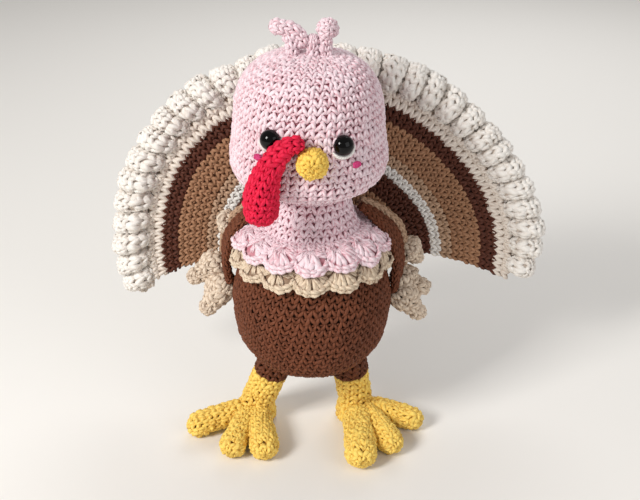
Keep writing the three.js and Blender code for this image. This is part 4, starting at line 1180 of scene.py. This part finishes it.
# Collars: a worked band and a round of shell stitches, one shell to a lobe
SCALLOPS = 14
HALF_LOBE = math.pi / SCALLOPS
NOTCH_SHARE = 0.4
LOBE_PHASE = math.pi / 2
COLLAR_THICKNESS = 2.2 * MM
COLLAR_CLOTH = 1.0 * MM
COLLAR_INSET = 2.6 * MM
COLLAR_PUFF = 0.8 * MM * 3.2
UNEVEN_PUFF = 0.6 * MM
UNEVEN_TURN = 0.1
PETALS = 6
PETAL_SPREAD = math.radians(80)
PETAL_ROOT = 0.3
PETAL_MIDDLE = 0.62
# The place across a shell is its lobe's number times this, plus the angle in the shell
LOBE_CODE = 10


def lobe(azimuth):
    """Share of the full width that the rim reaches, and the bulge of the lobe."""
    bulge = np.abs(np.cos(azimuth * SCALLOPS / 2 + LOBE_PHASE))
    return 1 - NOTCH_SHARE * (1 - np.sqrt(bulge)), bulge


def collar(node, top, rim, drop, finish, seed):
    inset = float(profile_radius(torso_profile, top)) - COLLAR_INSET
    span = math.hypot(rim - inset, drop)
    root, middle_radius = PETAL_ROOT * span, inset + (rim - inset) * PETAL_MIDDLE
    uneven = np.random.default_rng(seed).normal(0, 1, (SCALLOPS, 3))

    def surface(azimuth, along):
        m = along / span
        k = np.floor(azimuth / (2 * math.pi) * SCALLOPS).astype(int) % SCALLOPS
        swell = (COLLAR_PUFF + UNEVEN_PUFF * uneven[k, 0]) * lobe(azimuth)[1] * m * (1.5 - m * 0.8)
        height = top - drop * m**2 + (COLLAR_THICKNESS / 2 + swell)
        out = inset + (rim - inset) * m
        return np.column_stack([AXIS[0] + out * np.cos(azimuth), AXIS[1] + out * np.sin(azimuth), height])

    def fanned(place):
        def placed(across, along, lift):
            k = np.round(across / LOBE_CODE)
            angle = across - LOBE_CODE * k + UNEVEN_TURN * uneven[k.astype(int) % SCALLOPS, 1]
            azimuth = (k + 0.5) * 2 * HALF_LOBE + along * np.sin(angle) / middle_radius
            return place(azimuth, root + along * np.cos(angle), lift)

        return placed

    def rim_distance(angle):
        """How far a petal at an angle reaches inside its lobe."""
        steps = np.linspace(0, span, 200)
        azimuth = HALF_LOBE + steps * np.sin(angle) / middle_radius
        past_rim = root + steps * np.cos(angle) > lobe(azimuth)[0] * span
        past_notch = np.abs(azimuth - HALF_LOBE) > HALF_LOBE * 0.98
        return steps[np.argmax(past_rim | past_notch)]

    cloth = Cloth(surface, COLLAR_CLOTH)
    upper, under = cloth.face(-1), cloth.face(1)
    angles = np.linspace(-PETAL_SPREAD, PETAL_SPREAD, PETALS)
    lengths = np.array([max(rim_distance(angle), 3 * MM) for angle in angles])
    typical = lengths.mean()
    per_metre = 1 / (typical * PETAL_MIDDLE)
    across = np.concatenate([LOBE_CODE * k + angles for k in range(SCALLOPS)])
    anchors = anchor_row(across, 0.6 * MM, per_metre, 1, np.tile(lengths / typical, SCALLOPS))
    width = 2 * PETAL_SPREAD / (PETALS - 1) / per_metre
    petal = post(width, typical * 0.95, width * 0.26)
    shells = [lay(fanned(upper), anchors, petal, wobble=0.2, spread=0.14, shade=0.25)]
    shells_under = [lay(fanned(under), anchors, petal, wobble=0.03, spread=0.06)]

    # Chain loops along the rim of every lobe
    azimuths = np.linspace(0, 2 * math.pi, SCALLOPS * 40 + 1)
    on_rim, travel = cloth.rim(azimuths, lambda azimuth: lobe(azimuth)[0] * span, 0.75)
    shells.append(chained(on_rim, travel, 4.1 * MM, 3.6 * MM, 1.2 * MM))

    # Worked band next to the seam
    band = []
    for along in (0.0, 3.0 * MM):
        stitches = round(2 * math.pi * (inset + along) / STITCH_WIDTH)
        azimuth = np.arange(stitches) * 2 * math.pi / stitches
        band.append(anchor_row(azimuth, along, 1 / (inset + along), 1))
    shells.append(lay(upper, np.vstack(band), single))

    layers = [(f"{node}_shells", shells, finish), (f"{node}_shells_under", shells_under, finish)]
    us = np.linspace(0, 2 * math.pi, SCALLOPS * 12 + 1)
    alongs = np.outer(lobe(us)[0], np.linspace(0.02, 1, 8)) * span
    sheet_piece(node, cloth, us, alongs, finish, layers)


collar("pink_collar", 130.5 * MM, 43 * MM, 8.6 * MM, "pink", 3)
collar("beige_collar", 120.5 * MM, 44.4 * MM, 9.5 * MM, "shell_beige", 5)

# Floor and light
FLOOR_REACH = 6.0
FLOOR_COLOUR = (0.86, 0.84, 0.81, 1)
AIR_COLOUR = (1, 0.98, 0.95, 1)
AIR_STRENGTH = 0.36
LIGHT_TARGET = (0, 0, 0.12)
# Each lamp's place, size, power and colour
LAMPS = {
    "key": ((-0.78, -0.66, 0.8), 0.36, 12.4, (1, 0.98, 0.95)),
    "fill": ((0.9, -0.8, 0.6), 0.9, 3.5, (0.98, 0.98, 1)),
    "back": ((0.2, 0.9, 0.9), 0.8, 5, (1, 1, 1)),
}
corners = np.array(((-1, -1, 0), (1, -1, 0), (1, 1, 0), (-1, 1, 0)), float)
floor_mesh = bpy.data.meshes.new("floor")
floor_mesh.from_pydata(corners * FLOOR_REACH, [], [(0, 1, 2, 3)])
added("floor", floor_mesh)
floor_paint, _, _, paint = new_material("floor_paint")
preset(paint, {"Base Color": FLOOR_COLOUR, "Roughness": 0.7})
floor_mesh.materials.append(floor_paint)

for name, (place, size, power, colour) in LAMPS.items():
    light = bpy.data.lights.new(name, "AREA")
    light.shape, light.size, light.energy, light.color = "SQUARE", size, power, colour
    lamp = added(name, light)
    lamp.location = place
    lamp.rotation_euler = (Vector(LIGHT_TARGET) - Vector(place)).to_track_quat("-Z", "Y").to_euler()
world = bpy.data.worlds.new("world")
world.use_nodes = True
preset(world.node_tree.nodes["Background"].inputs, {"Color": AIR_COLOUR, "Strength": AIR_STRENGTH})
bpy.context.scene.world = world
bpy.context.scene.view_settings.view_transform = "Standard"
